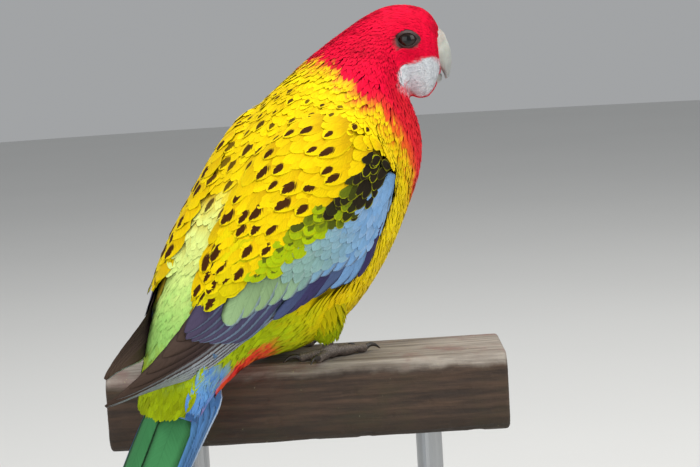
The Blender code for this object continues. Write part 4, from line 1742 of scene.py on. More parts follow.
# ---- wings ---------------------------------------------------------------------------------
@dataclass(frozen=True)
class WingMap:
    """Where each colour lies on a folded wing: borders from the bend to the tip, as (u, v) knots."""

    scapular: tuple = ((0, 0.26), (0.1, 0.34), (0.2, 0.46), (0.42, 0.48), (0.52, 0.42), (0.6, 0.33), (0.68, 0.2))
    black: tuple = ((0, 0.62), (0.1, 0.64), (0.2, 0.6), (0.3, 0.56), (0.42, 0.56), (0.52, 0.44), (0.6, 0.3))
    lime: tuple = (
        (0, 0.62), (0.15, 0.62), (0.26, 0.6), (0.35, 0.66), (0.44, 0.66), (0.52, 0.58), (0.62, 0.5), (0.7, 0.4),
    )

    def border(self, knots: tuple, u: Array) -> Array:
        """The border's v at some u."""
        return np.interp(u, *np.array(knots).T)

    def tint(self, ink: Palette, u: Array, v: Array) -> Array:
        """Ground colour of the wing at (u, v): black shoulder, lime band, pale blue below."""
        shoulder = blend(ink.black, ink.lime, 0.06 + 0 * u)
        tint = blend(shoulder, ink.lime, smooth(0.24, 0.36, u))
        tint = blend(tint, ink.pale_blue, smooth(-0.02, 0.03, v - self.border(self.lime, u)))
        return blend(ink.yellow_deep, tint, smooth(-0.03, 0.02, v - self.border(self.scapular, u)))


@dataclass
class WingCoat:
    """One folded wing: a thin core, flight feathers, rows of coverts and spotted scapulars.

    Attributes:
        surface: the wing's outer face over u, 0 at the bend and 1 at the tip, and v, 0 on the upper
            edge and 1 on the lower.
        sheet: the same face, flat across, for the flight feathers.
        side: 1 for the right wing, -1 for the left.
        name: right or left.
        ink: the colours.
        chance: random source.
        plan: the wing's colours and borders.
        core_depth: how deep the core lies under the outer face.
        core_thick: its thickness.
        primary_pull: v that each primary is drawn towards on its way.
        primary_tip: (u, v) of each primary's tip.
        secondary_tip: (u, v) of each secondary's tip.
        tertial: root, pull and tip of four tertials; the rest lie between them.
    """

    surface: Surface
    sheet: Surface
    side: int
    name: str
    ink: Palette
    chance: Chance
    plan: WingMap = WingMap()
    core_depth: float = 2.1
    core_thick: float = 0.9
    primary_pull: tuple = (0.42, 0.47, 0.52, 0.57, 0.62, 0.67, 0.72, 0.765, 0.81, 0.85)
    primary_tip: tuple = (
        (0.78, 0.22), (0.83, 0.24), (0.88, 0.28), (0.93, 0.34), (0.97, 0.42), (1.0, 0.52),
        (1.0, 0.62), (0.985, 0.70), (0.965, 0.78), (0.94, 0.85),
    )
    secondary_tip: tuple = (
        (0.66, 0.84), (0.69, 0.74), (0.715, 0.64), (0.735, 0.53), (0.75, 0.43), (0.76, 0.33), (0.755, 0.24),
    )
    tertial: tuple = (
        ((0.34, 0.42), (0.48, 0.40), (0.60, 0.36)), ((0.36, 0.36), (0.52, 0.30), (0.66, 0.26)),
        ((0.38, 0.26), (0.56, 0.18), (0.71, 0.14)), ((0.38, 0.14), (0.54, 0.07), (0.70, 0.03)),
    )

    def core(self) -> Thing:
        """The wing's flesh and feather bases: a thin closed sheet under the feathers."""
        grid_u, grid_v = np.meshgrid(np.linspace(0.01, 0.72, 40), np.linspace(0.05, 0.95, 14), indexing="ij")
        found = self.surface.read(grid_u, grid_v)
        end = 1.0 - 0.5 * smooth(0.5, 0.72, grid_u)
        outer = found.points - found.normals * self.core_depth
        inner = outer - found.normals * (self.core_thick * end)[..., None]
        # the wing's colours at half brightness: painted shade, since the core shows only in the gaps under the
        # feathers
        tint = self.plan.tint(self.ink, grid_u, grid_v) * 0.5
        rings, tints = (
            np.concatenate([front, behind[:, ::-1]], axis=1)[:, :: self.side]
            for front, behind in ((outer, inner), (tint, tint))
        )
        thing = solid_from_tubes(f"wing_core_{self.name}", [rings])
        return tinted(thing, capped(tints), SkinFinish("wing_skin").build())

    def big(
        self, cut: Cut, path: Array, width: Array | float, lift: Array | tuple, tint: Array, tip: Array,
        edge: Array, lip: tuple, tilt: float = 0.0, core: Array | float = 0.0, spot: Array | float = 0.0,
    ) -> Tract:
        """A row of large feathers, tilted like shingles so that each lower edge lies free.

        Args:
            cut: the feathers' cut.
            path: (n, 3, 2) root, pull and tip.
            width: (n) full widths in millimetres.
            lift: (n, 2) height at root and tip.
            tint: (n, 3) colour at the root.
            tip: (n, 3) colour at the tip.
            edge: (n, 4) colour and strength of the fringe.
            lip: its start, 1 for the lower side only or 0 for both, and its share at the tip.
            tilt: degrees by which the lower edge is raised.
            core: (n, 4) colour and strength of a dark streak.
            spot: (n, 3) its place and half sizes.

        Returns:
            the row.
        """
        start, sided, ended = lip
        lip = (start, -sided * self.side, ended)
        return Tract(cut, path, width, lift, tint, tip, -tilt * self.side, core, spot, edge, lip, fitted=True)

    def primaries(self) -> Tract:
        """Ten primaries, dark brown, the outer ones with pale bluish outer edges."""
        k = np.arange(10)
        path = np.stack(
            [stack(10, 0.30, 0.68 + 0.021 * k), stack(10, 0.64, self.primary_pull), self.primary_tip], axis=1
        )
        height = -1.05 - 0.12 * k
        dark, ends = blend(self.ink.flight, self.ink.violet, 0.25), blend(self.ink.flight, self.ink.black, 0.25)
        edge = inked(self.ink.stripe, np.interp(k, (0, 3, 5, 9), (0.0, 0.0, 0.95, 1.0)))
        width = np.interp(k, (0, 5, 9), (9.5, 8.6, 6.6))
        return self.big(Cut.FLIGHT, path, width, stack(10, height, height), dark, ends, edge, (0.80, 1, 0))

    def secondaries(self) -> Tract:
        """Seven secondaries, violet slate with pale aqua outer edges."""
        k = np.arange(7)
        tip = np.array(self.secondary_tip)
        root = stack(7, np.linspace(0.38, 0.34, 7), np.linspace(0.64, 0.40, 7))
        path = np.stack([root, (root + tip) / 2 + np.array([0.02, 0.01]), tip], axis=1)
        height = -0.88 + 0.12 * k
        tint = blend(self.ink.slate, self.ink.violet, np.linspace(0.3, 0.6, 7))
        ends = blend(tint, self.ink.flight, np.full(7, 0.45))
        edge = inked(blend(self.ink.pale_blue, self.ink.stripe, 0.35), np.linspace(0.9, 0.35, 7))
        width = 10.0 - 0.2 * k
        return self.big(Cut.FLIGHT, path, width, stack(7, height, height), tint, ends, edge, (0.80, 1, 0))

    def tertials(self) -> Tract:
        """Seven dark-streaked tertials with lime and yellow edges, on top of the secondaries."""
        count = 7
        knots = np.array(self.tertial).reshape(4, -1).T
        path = stack(count, *(np.interp(np.linspace(0, 3, count), range(4), row) for row in knots))
        tint = blend(self.ink.lime, self.ink.yellow, np.linspace(0.3, 0.9, count)) * 0.9
        streak = self.chance.uniform(0.85, 1.15, (count, 3)) ** [0.3, 1, 1]
        return self.big(
            Cut.COVERT, path.reshape(count, 3, 2), 7.2, stack(count, -0.6, np.linspace(-0.1, 0.1, count)),
            tint, tint, inked(self.ink.yellow_deep, 0.3), (0.80, 0, 0), 4.0,
            core=inked(blend(self.ink.spot, self.ink.black, 0.4)), spot=np.array([0.76, 0.17, 0.30]) * streak,
        )

    def covert_row(
        self, root: Array, tip: Array, pull: tuple, width: float, lift: Array | tuple, tint: Array,
        dark: float, edge: Array, lip: tuple,
    ) -> Tract:
        """A row of coverts.

        Args:
            root: (n, 2) where they leave the wing.
            tip: (n, 2) where they end.
            pull: how far the middle is drawn aside.
            width: full width.
            lift: height at root and tip.
            tint: (n, 3) colour at the tip.
            dark: brightness of the root over that of the tip, a painted shade where the feathers before it cover the
                root.
            edge: colour and strength of the fringe.
            lip: its start, side and share at the tip.

        Returns:
            the row.
        """
        path = np.stack([root, (root + tip) / 2 + np.array(pull), tip], axis=1)
        # the root painted darker by dark: painted shade under the covering feathers
        return self.big(Cut.COVERT, path, width, lift, tint * dark, tint, edge, lip, 4.0)

    def covert_rows(self) -> list[Tract]:
        """Greater coverts, median coverts, primary coverts and the alula."""
        ink = self.ink
        j = np.arange(13)
        tip = stack(13, 0.18 + 0.04 * j, np.interp(j, (0, 4, 8, 12), (0.96, 0.88, 0.80, 0.60)))
        tint = blend(blend(ink.pale_blue, ink.aqua, smooth(4.5, 8.0, j)), ink.lime, 0.35 * smooth(6.0, 10.0, j))
        edge = inked(blend(ink.pale_blue, ink.stripe, 0.5), 0.6)
        greater = self.covert_row(
            tip - np.array([0.15, 0.20]), tip, (0.02, -0.015), 8.4, (-0.8, 0.12), tint, 0.72, edge, (0.72, 1, 0.8)
        )
        j = np.arange(11)
        tip = stack(11, 0.10 + 0.045 * j, np.interp(j, (0, 3, 7, 10), (0.86, 0.74, 0.66, 0.52)))
        tint = blend(ink.pale_blue, ink.lime, 0.75 * smooth(4.0, 8.5, j))
        edge = inked(ink.pale_blue, 0.5)
        median = self.covert_row(
            tip - np.array([0.12, 0.16]), tip, (0, 0), 7.6, (-0.9, 0.3), tint, 0.8, edge, (0.7, 0, 0.8)
        )
        root = stack(
            9, (0.04, 0.06, 0.09, 0.16, 0.20, 0.25, 0.29, 0.33, 0.37),
            (0.84, 0.88, 0.92, 0.86, 0.85, 0.84, 0.83, 0.83, 0.82),
        )
        tip = stack(
            9, (0.20, 0.24, 0.27, 0.32, 0.36, 0.42, 0.46, 0.50, 0.54),
            (0.96, 0.99, 1.02, 1.0, 0.985, 0.97, 0.955, 0.935, 0.90),
        )
        pale = np.array([0.0, 0.0, 0.0, 0.9, 0.85, 0.25, 0.0, 0.0, 0.15])
        tint = blend(blend(ink.violet, ink.slate, np.linspace(0.0, 0.3, 9)), ink.pale_blue, pale)
        lift = stack(9, -0.9, (0.25, 0.15, 0.05, -0.12, -0.14, -0.16, -0.18, -0.2, -0.22))
        front = self.covert_row(root, tip, (0, 0), 5.4, lift, tint, 0.8, inked(ink.slate, 0.6), (0.78, 1, 0.6))
        return [greater, median, front]

    def run(self, u: Array, v: Array, length: Array, turn: Array) -> Array:
        """Paths from (u, v) towards the tip, turned by some degrees towards the lower edge."""
        return straight_path(self.surface, u, v, length, turn, 1, 20.0)

    def scattered(
        self, low: tuple, high: tuple, ends: tuple, length: float, slim: float, cover: float
    ) -> tuple[Array, Array]:
        """Places between two borders and two values of u.

        Args:
            low: the border nearer the upper edge.
            high: the border nearer the lower edge.
            ends: least and greatest u.
            length: the feathers' length.
            slim: their width as a share of it.
            cover: how many lie over each place.

        Returns:
            u and v.
        """
        u, v = self.surface.grid(WING_GRID)
        density = np.full(u.shape, cover / (length**2 * slim * VANE_AREA))
        density = density * (v >= self.plan.border(low, u)) * (v <= self.plan.border(high, u))
        return scatter(self.surface, density * (u >= ends[0]) * (u <= ends[1]), self.chance)

    def shoulder(self) -> Tract:
        """Lesser coverts: black with green and yellow fringes, turning lime farther back."""
        ink, chance = self.ink, self.chance
        low = tuple((x, y - 0.05) for x, y in self.plan.scapular)
        u, v = self.scattered(low, self.plan.black, (0.0, 0.5), 8.0, 0.62, 3.4)
        count = len(u)
        length = np.interp(u, (0.0, 0.2, 0.5), (6.5, 8.5, 11.0)) * chance.uniform(0.9, 1.1, count)
        path = self.run(u, v, length, chance.normal(12.0, 5.0, count))
        limed = smooth(0.2, 0.36, u + 0.05 * chance.normal(size=count))
        tint = blend(ink.black, ink.lime, limed)
        edge = inked(blend(ink.lime, ink.yellow_deep, 0.3), chance.uniform(0.0, 0.85, count))
        core = inked(ink.black, 0.75 * limed * (chance.random(count) < 0.45))
        # the roots painted a tenth darker than the tips: painted shade under the covering feathers
        return Tract(
            Cut.MANTLE, path, length * 0.62, stack(count, -0.25, 0.14 * length - 0.25), tint * 0.9, tint,
            -4.0 * self.side, core, (0.62, 0.2, 0.42), edge, (0.74, 0.0, 0.86), WIDE_PATCH, True,
        )

    def blue_coverts(self) -> Tract:
        """Small pale blue coverts of the wing's front edge, under the shoulder."""
        ink, chance = self.ink, self.chance
        high = ((0, 1.0), (0.12, 0.96), (0.2, 0.85), (0.5, 0.62))
        u, v = self.scattered(((0, 0.56), (0.5, 0.52)), high, (0.0, 0.44), 7.5, 0.62, 3.2)
        count = len(u)
        length = np.interp(u, (0.0, 0.4), (6.0, 9.5)) * chance.uniform(0.9, 1.1, count)
        path = self.run(u, v, length, chance.normal(22.0, 5.0, count))
        cloud = chance.random(count)
        tint = blend(blend(ink.pale_blue, ink.stripe, 0.12 * cloud), ink.aqua, smooth(0.15, 0.4, u) * 0.9)
        # the roots painted darker than the tips: painted shade under the covering feathers
        return Tract(
            Cut.CONTOUR, path, length * 0.62, stack(count, -0.4, 0.14 * length - 0.4), tint * 0.85, tint,
            -5.0 * self.side, edge=inked(ink.stripe, 0.2 * cloud), lip=(0.74, 0.0, 0.86), fitted=True,
        )

    def scapulars(self) -> Tract:
        """Long yellow scapulars with dark teardrop centres, over the wing's upper part."""
        ink, chance = self.ink, self.chance
        high = tuple((x, y - 0.03) for x, y in self.plan.scapular)
        u, v = self.scattered(((0, -0.01), (1, -0.01)), high, (0.0, 0.62), 13.0, 0.58, 4.6)
        count = len(u)
        length = np.interp(u, (0.0, 0.12, 0.3, 0.5, 0.66), (9.5, 11.0, 14.5, 16.0, 12.0))
        length = length * chance.uniform(0.9, 1.12, count)
        path = self.run(u, v, length, chance.normal(3.0, 4.0, count))
        share = np.clip(0.3 + 0.5 * chance.random(count), 0, 1)
        olive = smooth(0.42, 0.60, u) * smooth(0.1, 0.3, v)
        tint = blend(blend(ink.yellow, ink.yellow_deep, share), ink.lime, 0.55 * olive)
        spotted = np.arange(count) < np.interp(u, (0.0, 0.3, 0.6), (0.20, 0.22, 0.34)) * count
        lift = stack(count, -0.2, 0.075 * length - 0.2) + 0.2 * spotted[:, None]
        size = chance.uniform(0.8, 1.35, count)
        spot = stack(count, 0.80, np.interp(u, (0, 0.5), (0.20, 0.22)) * size, 0.46 * size)
        edge = inked(blend(ink.yellow, ink.lime, 0.3), chance.uniform(0.1, 0.5, count))
        return Tract(
            Cut.MANTLE, path, length * 0.56, lift, tint * SHADED_ROOT, tint, -4.0 * self.side,
            inked(ink.spot, spotted), spot, edge, (0.78, 0.0, 0.9), WIDE_PATCH, True,
        )

    def build(self) -> None:
        """Makes the wing's core, its flight feathers and its coverts."""
        finish = PlumageFinish("plumage_wing", barb=0.26).build()
        pieces = [self.core()]
        flight = [lay(self.sheet, tract, self.chance) for tract in (self.primaries(), self.secondaries())]
        pieces.append(dress(f"wing_flight_{self.name}", flight, finish, strips=True))
        rows = [lay(self.surface, tract, self.chance) for tract in (*self.covert_rows(), self.tertials())]
        pieces.append(dress(f"wing_rows_{self.name}", rows, finish, strips=True))
        small = (self.blue_coverts(), self.shoulder(), self.scapulars())
        coverts = [lay(self.surface, tract, self.chance) for tract in small]
        pieces.append(dress(f"wing_coverts_{self.name}", coverts, finish))
        for piece, slot in zip(pieces, ("wing_feathers",) * 3 + ("plumage_yellow",)):
            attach(piece, "root")
        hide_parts(f"wing_{self.name}")
        log.info("%s wing: %d small feathers", self.name, sum(len(part.points) for part in coverts))


# ---- tail ----------------------------------------------------------------------------------
@dataclass
class TailCoat:
    """Twelve graduated tail feathers: a green central pair over pairs of blue ones.

    Attributes:
        shape: the tail's shape.
        ink: the colours.
        chance: random source.
        middle: how far the central pair lies to the left.
        place: each pair's distance from the middle, from the centre outwards.
        reach: each pair's length.
        half: each pair's half width.
    """

    shape: TailShape
    ink: Palette
    chance: Chance
    middle: float = -2.0
    place: tuple = (5.4, 8.2, 9.3, 10.3, 11.2, 12.0)
    reach: tuple = (128.0, 122.0, 108.0, 94.0, 80.0, 66.0)
    half: tuple = (6.4, 5.6, 5.3, 5.0, 4.6, 4.2)

    def side(self, hand: int) -> Tract:
        """The six feathers of one side.

        Args:
            hand: 1 for the left side, -1 for the right.

        Returns:
            the feathers, the middle one first.
        """
        ink = self.ink
        place, reach, half = np.array(self.place), np.array(self.reach), np.array(self.half)
        count = len(place)
        rank = np.arange(count)
        drawn_in = np.where((hand > 0) & (rank > 0), 0.72, 1.0)
        out = self.middle * np.interp(rank, (0, 5), (1.0, 0.0)) + hand * place * drawn_in
        if hand > 0:
            out = np.where(rank > 0, np.minimum(out, 5.5 - half), out)
        wrap = np.interp(rank, (0, 1, 5), (0.0, 9.5, 14.5))
        root = stack(count, np.interp(rank, (0, 5), (-9.0, -17.0)), np.where(rank == 0, 0.95 * out, hand * wrap))
        limit = np.maximum(self.shape.half_width(reach) - 1.0, 1.5)
        tip = stack(count, reach, np.clip(out, -limit, limit))
        path = np.stack([root, stack(count, 0.45 * reach, 1.08 * out), tip], axis=1)
        height = -0.1 - 0.30 * rank - (0.15 if hand > 0 else 0.0)
        blue = smooth(0.1, 1.2, rank)
        tint = blend(ink.green, blend(ink.blue_deep, ink.blue, 0.6), blue)
        ends = blend(blend(ink.teal, ink.blue_deep, 0.25), blend(ink.blue, ink.pale_blue, 0.4), blue)
        # painted shadow: on the right side the central feather's inner edge is a dark green, for the gap between the
        # central pair
        inner = ink.lime if hand > 0 else ink.green * 0.2
        edge = blend(inner, blend(ink.blue, ink.white, 0.6), smooth(0.0, 1.0, rank))
        edge = inked(edge, np.interp(rank, (0, 1, 4, 5), (0.9, 0.0, 0.1, 1.0)))
        start, ended = (np.interp(rank, (0, 2, 5), knots) for knots in ((0.86, 0.82, 0.74), (0.0, 0.4, 1.0)))
        lip = stack(count, start, np.where(rank == 0, -hand, hand), ended)
        return Tract(
            Cut.RECTRIX, path, half * 2, stack(count, height, height), tint, ends, edge=edge, lip=lip, fitted=True
        )

    def core(self, surface: Surface) -> Thing:
        """The tail's fleshy root, under the feathers of the rump.

        Args:
            surface: the tail's upper face.

        Returns:
            the piece.
        """
        at = np.linspace(0.0, 20.0, 12)
        across = np.linspace(-0.66, 0.66, 16)
        half = self.shape.half_width(at)[:, None] * (1 - 0.35 * (at[:, None] / 20.0) ** 2)
        grid_b = across[None] * half
        grid_a = np.broadcast_to(at[:, None], grid_b.shape)
        found = surface.read(grid_a, grid_b)
        deep = np.interp(at, (0.0, 20.0), (6.0, 1.4))[:, None] * np.sqrt(1.02 - across**2)[None]
        top = found.points - found.normals * 3.4
        low = top - self.shape.axes()[2] * deep[..., None]
        thing = solid_from_tubes("tail_root", [np.concatenate([top, low[:, ::-1]], axis=1)])
        return tinted(thing, self.ink.olive, SkinFinish("tail_skin").build())

    def build(self) -> None:
        """Makes the tail's root and its feathers."""
        surface = self.shape.surface()
        laid = [lay(surface, self.side(hand), self.chance) for hand in (1, -1)]
        vanes = dress("tail_feathers", laid, PlumageFinish("plumage_tail", barb=0.22).build(), strips=True)
        root = self.core(surface)
        for piece in (vanes, root):
            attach(piece, "root")
        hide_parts("tail")


# ---- bill, eyes and feet -------------------------------------------------------------------
@dataclass(frozen=True)
class Bill:
    """The hooked bill: each half is a loft between its ridge and its edge in the head's profile.

    Attributes:
        upper: ridge and edge points of the upper half, each ahead of and above the head's centre.
        upper_half: its half widths.
        lower: the same for the lower half.
        lower_half: its half widths.
        nostril: the nostril's place ahead and above.
        cere: the middle of the swelling round it.
    """

    upper: tuple = (
        (9.5, 7.0, 7.0, -7.0), (13.2, 5.6, 10.0, -7.4), (16.0, 2.6, 11.6, -8.2), (17.8, -2.0, 12.8, -9.2),
        (18.2, -6.4, 13.8, -10.2), (17.8, -10.2, 14.8, -12.0), (16.8, -13.6, 15.4, -14.2),
    )
    upper_half: tuple = (5.0, 5.9, 5.7, 4.8, 3.6, 2.4, 1.1)
    lower: tuple = (
        (7.0, -9.0, 7.0, -15.5), (10.0, -9.6, 10.0, -16.0), (12.4, -10.8, 12.2, -15.8), (14.1, -12.4, 13.8, -14.8),
    )
    lower_half: tuple = (4.2, 4.6, 4.0, 2.6)
    nostril: tuple = (12.2, 2.6)
    cere: tuple = (11.0, 4.0)

    def loft(
        self, body: BodyShape, sections: tuple, half: tuple, ridge: float, count: int = 48, around: int = 64
    ) -> tuple[Array, Array]:
        """Rings of one half from base to tip.

        A section is an oval narrowed towards its ridge: across it is the half width times sin t
        times (1 - ridge cos t), and along it cos t of half the distance from ridge to edge.

        Args:
            body: the body, for the head's axes.
            sections: ridge and edge points.
            half: half widths.
            ridge: how much narrower the ridge is than the edge.
            count: rings.
            around: points in a ring.

        Returns:
            the points, and how far each is ahead, left and above.
        """
        table = smooth_curve(np.column_stack([sections, half]), count)
        top, low, wide = table[:, 0:2], table[:, 2:4], table[:, 4]
        turn = np.linspace(0.0, 2 * math.pi, around, endpoint=False)
        middle, reach = (top + low) / 2, (top - low) / 2
        flat = middle[:, None] + reach[:, None] * np.cos(turn)[None, :, None]
        across = wide[:, None] * (np.sin(turn) * (1 - ridge * np.cos(turn)))[None]
        local = np.stack([flat[..., 0], across, flat[..., 1]], axis=-1)
        return body.on_head(local[..., 0], local[..., 1], local[..., 2]), local

    def build(self, body: BodyShape, ink: Palette) -> None:
        """Makes both halves, with the cere's swelling and the nostrils in the upper one.

        Args:
            body: the body, for the head's axes.
            ink: the colours.
        """
        finish = HornFinish("bill_horn_finish").build()
        _, local = self.loft(body, self.upper, self.upper_half, 0.16)
        away, swell = (
            np.hypot(local[..., 0] - place[0], local[..., 2] - place[1]) for place in (self.nostril, self.cere)
        )
        outward = unit(local - np.array([9.0, 0.0, -3.0]))
        hole = -0.9 * smooth(1.15, 0.5, away) + 0.25 * smooth(2.2, 1.4, away)
        moved = local + outward * (0.45 * smooth(6.5, 4.5, swell) + hole)[..., None]
        rings = body.on_head(moved[..., 0], moved[..., 1], moved[..., 2])
        tint = blend(ink.horn, srgb(150, 152, 150), self.towards_tip(rings, 0.35, 0.95))
        tint = blend(tint, srgb(168, 156, 146), 0.7 * smooth(6.2, 4.2, swell))
        # painted shade: the nostril's opening is painted near black
        tint = blend(tint, srgb(40, 34, 32), smooth(1.2, 0.7, away))
        self.dress("upper_bill_horn", rings, tint, finish, "upper_bill")
        rings, _ = self.loft(body, self.lower, self.lower_half, -0.1)
        tint = blend(ink.horn, srgb(128, 128, 126), self.towards_tip(rings, 0.3, 1.0))
        self.dress("lower_bill_horn", rings, tint, finish, "lower_bill")

    def towards_tip(self, rings: Array, low: float, high: float) -> Array:
        """Rises from 0 to 1 between two shares of the way from the first ring to the last."""
        return smooth(low, high, np.linspace(0.0, 1.0, len(rings)))[:, None] + np.zeros(rings.shape[:2])

    def dress(self, name: str, rings: Array, tint: Array, finish: Material, node: str) -> None:
        """Makes one half from its rings, tints it, hangs it under the root and hides the node that it replaces."""
        thing = tinted(solid_from_tubes(name, [rings]), capped(tint), finish)
        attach(thing, "root")
        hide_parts(node)


@dataclass(frozen=True)
class Eyes:
    """Both eyes and their lid rings.

    Attributes:
        ahead: how far the eyeball's centre is ahead of the head's.
        out: how far it is to the side.
        above: how far it is above.
        radius: the eyeball's radius.
        opening: half axes of the opening between the lids.
        ring: half axes of the ring's outer edge.
    """

    ahead: float = 0.9
    out: float = 10.6
    above: float = 2.1
    radius: float = 4.3
    opening: tuple = (3.05, 2.45)
    ring: tuple = (4.5, 3.55)

    def ball(self, body: BodyShape, name: str, side: int) -> Thing:
        """One eyeball, rings of latitude about the axis that points out of the head.

        Args:
            body: the body, for the head's axes.
            name: left or right.
            side: 1 for the left eye, -1 for the right.

        Returns:
            the eyeball.
        """
        polar = np.linspace(0.0, math.pi, 42)[1:-1, None]
        turn = np.linspace(0.0, 2 * math.pi, 56, endpoint=False)
        out = np.cos(polar) * self.radius + 0 * turn
        ahead = np.sin(polar) * np.cos(turn) * self.radius
        above = np.sin(polar) * np.sin(turn) * self.radius
        rings = body.on_head(self.ahead + ahead, side * (self.out + out), self.above + above)
        return solid_from_tubes(f"eyeball_{name}", [rings[:, ::-side]])

    def lids(self, body: BodyShape, name: str, side: int) -> Thing:
        """One ring of lids: a closed band that rises from the skin to a rounded rim on the eyeball.

        The band's section is given by its share of the way from opening to outer edge and its
        height over the eyeball or the skin, with fine wrinkles round the opening.

        Args:
            body: the body, for the head's axes.
            name: left or right.
            side: 1 for the left eye, -1 for the right.

        Returns:
            the ring.
        """
        turn = np.linspace(0.0, 2 * math.pi, 120, endpoint=False)
        share = np.array([0.0, 0.10, 0.28, 0.5, 0.75, 1.0, 1.0, 0.6, 0.25, 0.05])[:, None]
        height = np.array([0.1, 0.42, 0.60, 0.50, 0.30, 0.05, -0.9, -1.3, -1.0, -0.35])[:, None]
        wrinkle = 0.07 * np.sin(share * 26.0 + 1.5 * np.sin(3 * turn)) * (height > 0)
        inner, outer = np.array(self.opening), np.array(self.ring)
        axes = inner + (outer - inner) * share
        ahead = axes[:, :1] * np.cos(turn) * (1.0 + 0.16 * np.cos(turn) ** 8)
        above = axes[:, 1:] * np.sin(turn)
        flat = np.hypot(ahead, above)
        ball = np.sqrt(np.maximum(self.radius**2 - flat**2, 0.2))
        base = self.out + ball * (1 - share) + (3.1 - 0.035 * flat**2) * share
        rings = body.on_head(self.ahead + ahead, side * (base + height + wrinkle), self.above + above)
        count, around = rings.shape[:2]
        faces = tube_faces(count + 1, around) % (count * around)
        return make_mesh(f"lids_{name}", rings.reshape(-1, 3), [faces[:, ::-side]])

    def build(self, body: BodyShape) -> None:
        """Makes both eyes and both lid rings.

        Args:
            body: the body, for the head's axes.
        """
        wet, bare = EyeFinish().build(), BareSkinFinish("lid_skin", 1500.0, 0.06, 0.02).build()
        for name, side in SIDES:
            ball = self.ball(body, name, side)
            places = body.in_head(places_of(ball))
            away = np.hypot(places[:, 0] - self.ahead, places[:, 2] - self.above)
            iris = smooth(1.45, 1.75, away) * smooth(3.6, 2.6, away)
            tinted(ball, blend(srgb(8, 6, 6), srgb(34, 18, 12), iris), wet)
            lids = tinted(self.lids(body, name, side), srgb(62, 38, 36), bare)
            for piece, slot in ((ball, "eye"), (lids, "foot_skin")):
                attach(piece, "root")
            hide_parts(f"eye_{name}")


@dataclass(frozen=True)
class Feet:
    """Both feet: scaled toes and a pad over the rail, and a curved claw on each toe.

    Attributes:
        spread: how far each foot is from the middle.
        toes: each toe's heading in degrees, length and radius.
        claw: length of a claw.
        taper: share of its radius that a toe loses.
        pad: path and radii of the pad under the ankle.
    """

    spread: float = 14.0
    toes: tuple = ((9.0, 17.0, 2.1), (-16.0, 13.0, 2.0), (158.0, 9.5, 1.9), (-160.0, 13.0, 2.0))
    claw: float = 5.5
    taper: float = 0.33
    pad: tuple = (
        (-4.2, 0, 2.3, 1.2), (-2.2, 0, 2.7, 2.2), (0, 0, 3.1, 2.75), (2.4, 0, 2.8, 2.2), (4.4, 0, 2.4, 1.2),
    )

    def toe(
        self, centre: Array, heading: float, length: float, radius: float, count: int = 64, around: int = 28
    ) -> Array:
        """One toe: a tapering tube with raised scutes across its top and soft pads beneath.

        Joints swell it at a third and two thirds of the length, and scutes step it by a saw wave on
        the upper side only.

        Args:
            centre: the foot's middle.
            heading: the toe's direction in radians.
            length: its length.
            radius: its radius at the root.
            count: rings.
            around: points in a ring.

        Returns:
            (count, around, 3) points.
        """
        share = np.linspace(0.0, 1.0, count)
        turn = np.linspace(0.0, 2 * math.pi, around, endpoint=False)
        narrow = radius * (1 - self.taper * share)
        end = np.sqrt(np.clip(1.0 - ((share - 0.86) / 0.14).clip(0, 1) ** 2, 0.08, 1))
        wave = np.cos(share * 4.5 * math.pi)
        joints = 1.0 + 0.07 * wave * (share < 0.95)
        step = np.array([math.cos(heading), math.sin(heading), 0.0])
        over = np.array([-step[1], step[0], 0.0])
        up = np.cos(turn)[None]
        saw = (share * length / 0.95) % 1.0
        plates = 0.07 * (smooth(0.0, 0.25, saw) - saw)[:, None] * smooth(0.1, 0.6, up) * 2.2
        pads = 0.10 * (0.5 + 0.5 * wave)[:, None] * smooth(-0.2, -0.8, up)
        rim = (narrow * end * joints)[:, None] * (1 + plates + pads)
        middle = centre + (share * length)[:, None] * step + (narrow + 0.25)[:, None] * UP
        ring = np.sin(turn)[None, :, None] * over + np.cos(turn)[None, :, None] * UP
        return middle[:, None] + rim[..., None] * ring

    def nail(
        self, centre: Array, heading: float, length: float, radius: float, count: int = 26, around: int = 18
    ) -> Array:
        """One claw: a tapering tube that rises a little and curves down to its point.

        Args:
            centre: the foot's middle.
            heading: the toe's direction in radians.
            length: the toe's length.
            radius: its radius at the root.
            count: rings.
            around: points in a ring.

        Returns:
            (count, around, 3) points.
        """
        share = np.linspace(0.0, 1.0, count)
        step = np.array([math.cos(heading), math.sin(heading), 0.0])
        start = np.array([length * 0.93, radius * 0.67 + 0.35])
        knots = np.array([start, start + [1.8, 0.75], start + [3.9, 0.55], [length + self.claw, 0.45]])
        flat = smooth_curve(knots, count)
        path = centre + flat[:, :1] * step + flat[:, 1:] * UP
        return tube_rings(path, (1 - share) ** 0.75 + 0.12, around)

    def build(self) -> None:
        """Makes both feet and their claws."""
        bare = BareSkinFinish("foot_bare_skin", 1100.0, 0.10).build()
        horn = HornFinish("claw_horn_finish", 0.34, 1200.0).build()
        for name, side in SIDES:
            centre = np.array([0.0, self.spread * side, 0.0])
            rays = [(centre, math.radians(fan) * side, length, radius) for fan, length, radius in self.toes]
            pad = smooth_curve(self.pad, 30)
            pad = tube_rings(pad[:, :3] + centre, pad[:, 3], 32)
            foot = solid_from_tubes(f"foot_skin_{name}", [*(self.toe(*ray) for ray in rays), pad])
            claws = solid_from_tubes(f"claws_{name}", [self.nail(*ray) for ray in rays])
            # painted light and shade: toes lighter towards their tops and darker underneath, near the rail
            worn = smooth(1.0, 4.6, places_of(foot)[:, 2])
            tinted(foot, blend(srgb(84, 72, 64), srgb(138, 128, 120), worn), bare)
            tinted(claws, srgb(48, 42, 38), horn)
            for piece, slot in ((foot, "foot_skin"), (claws, "claw_horn")):
                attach(piece, "root")
            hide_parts(f"foot_{name}")


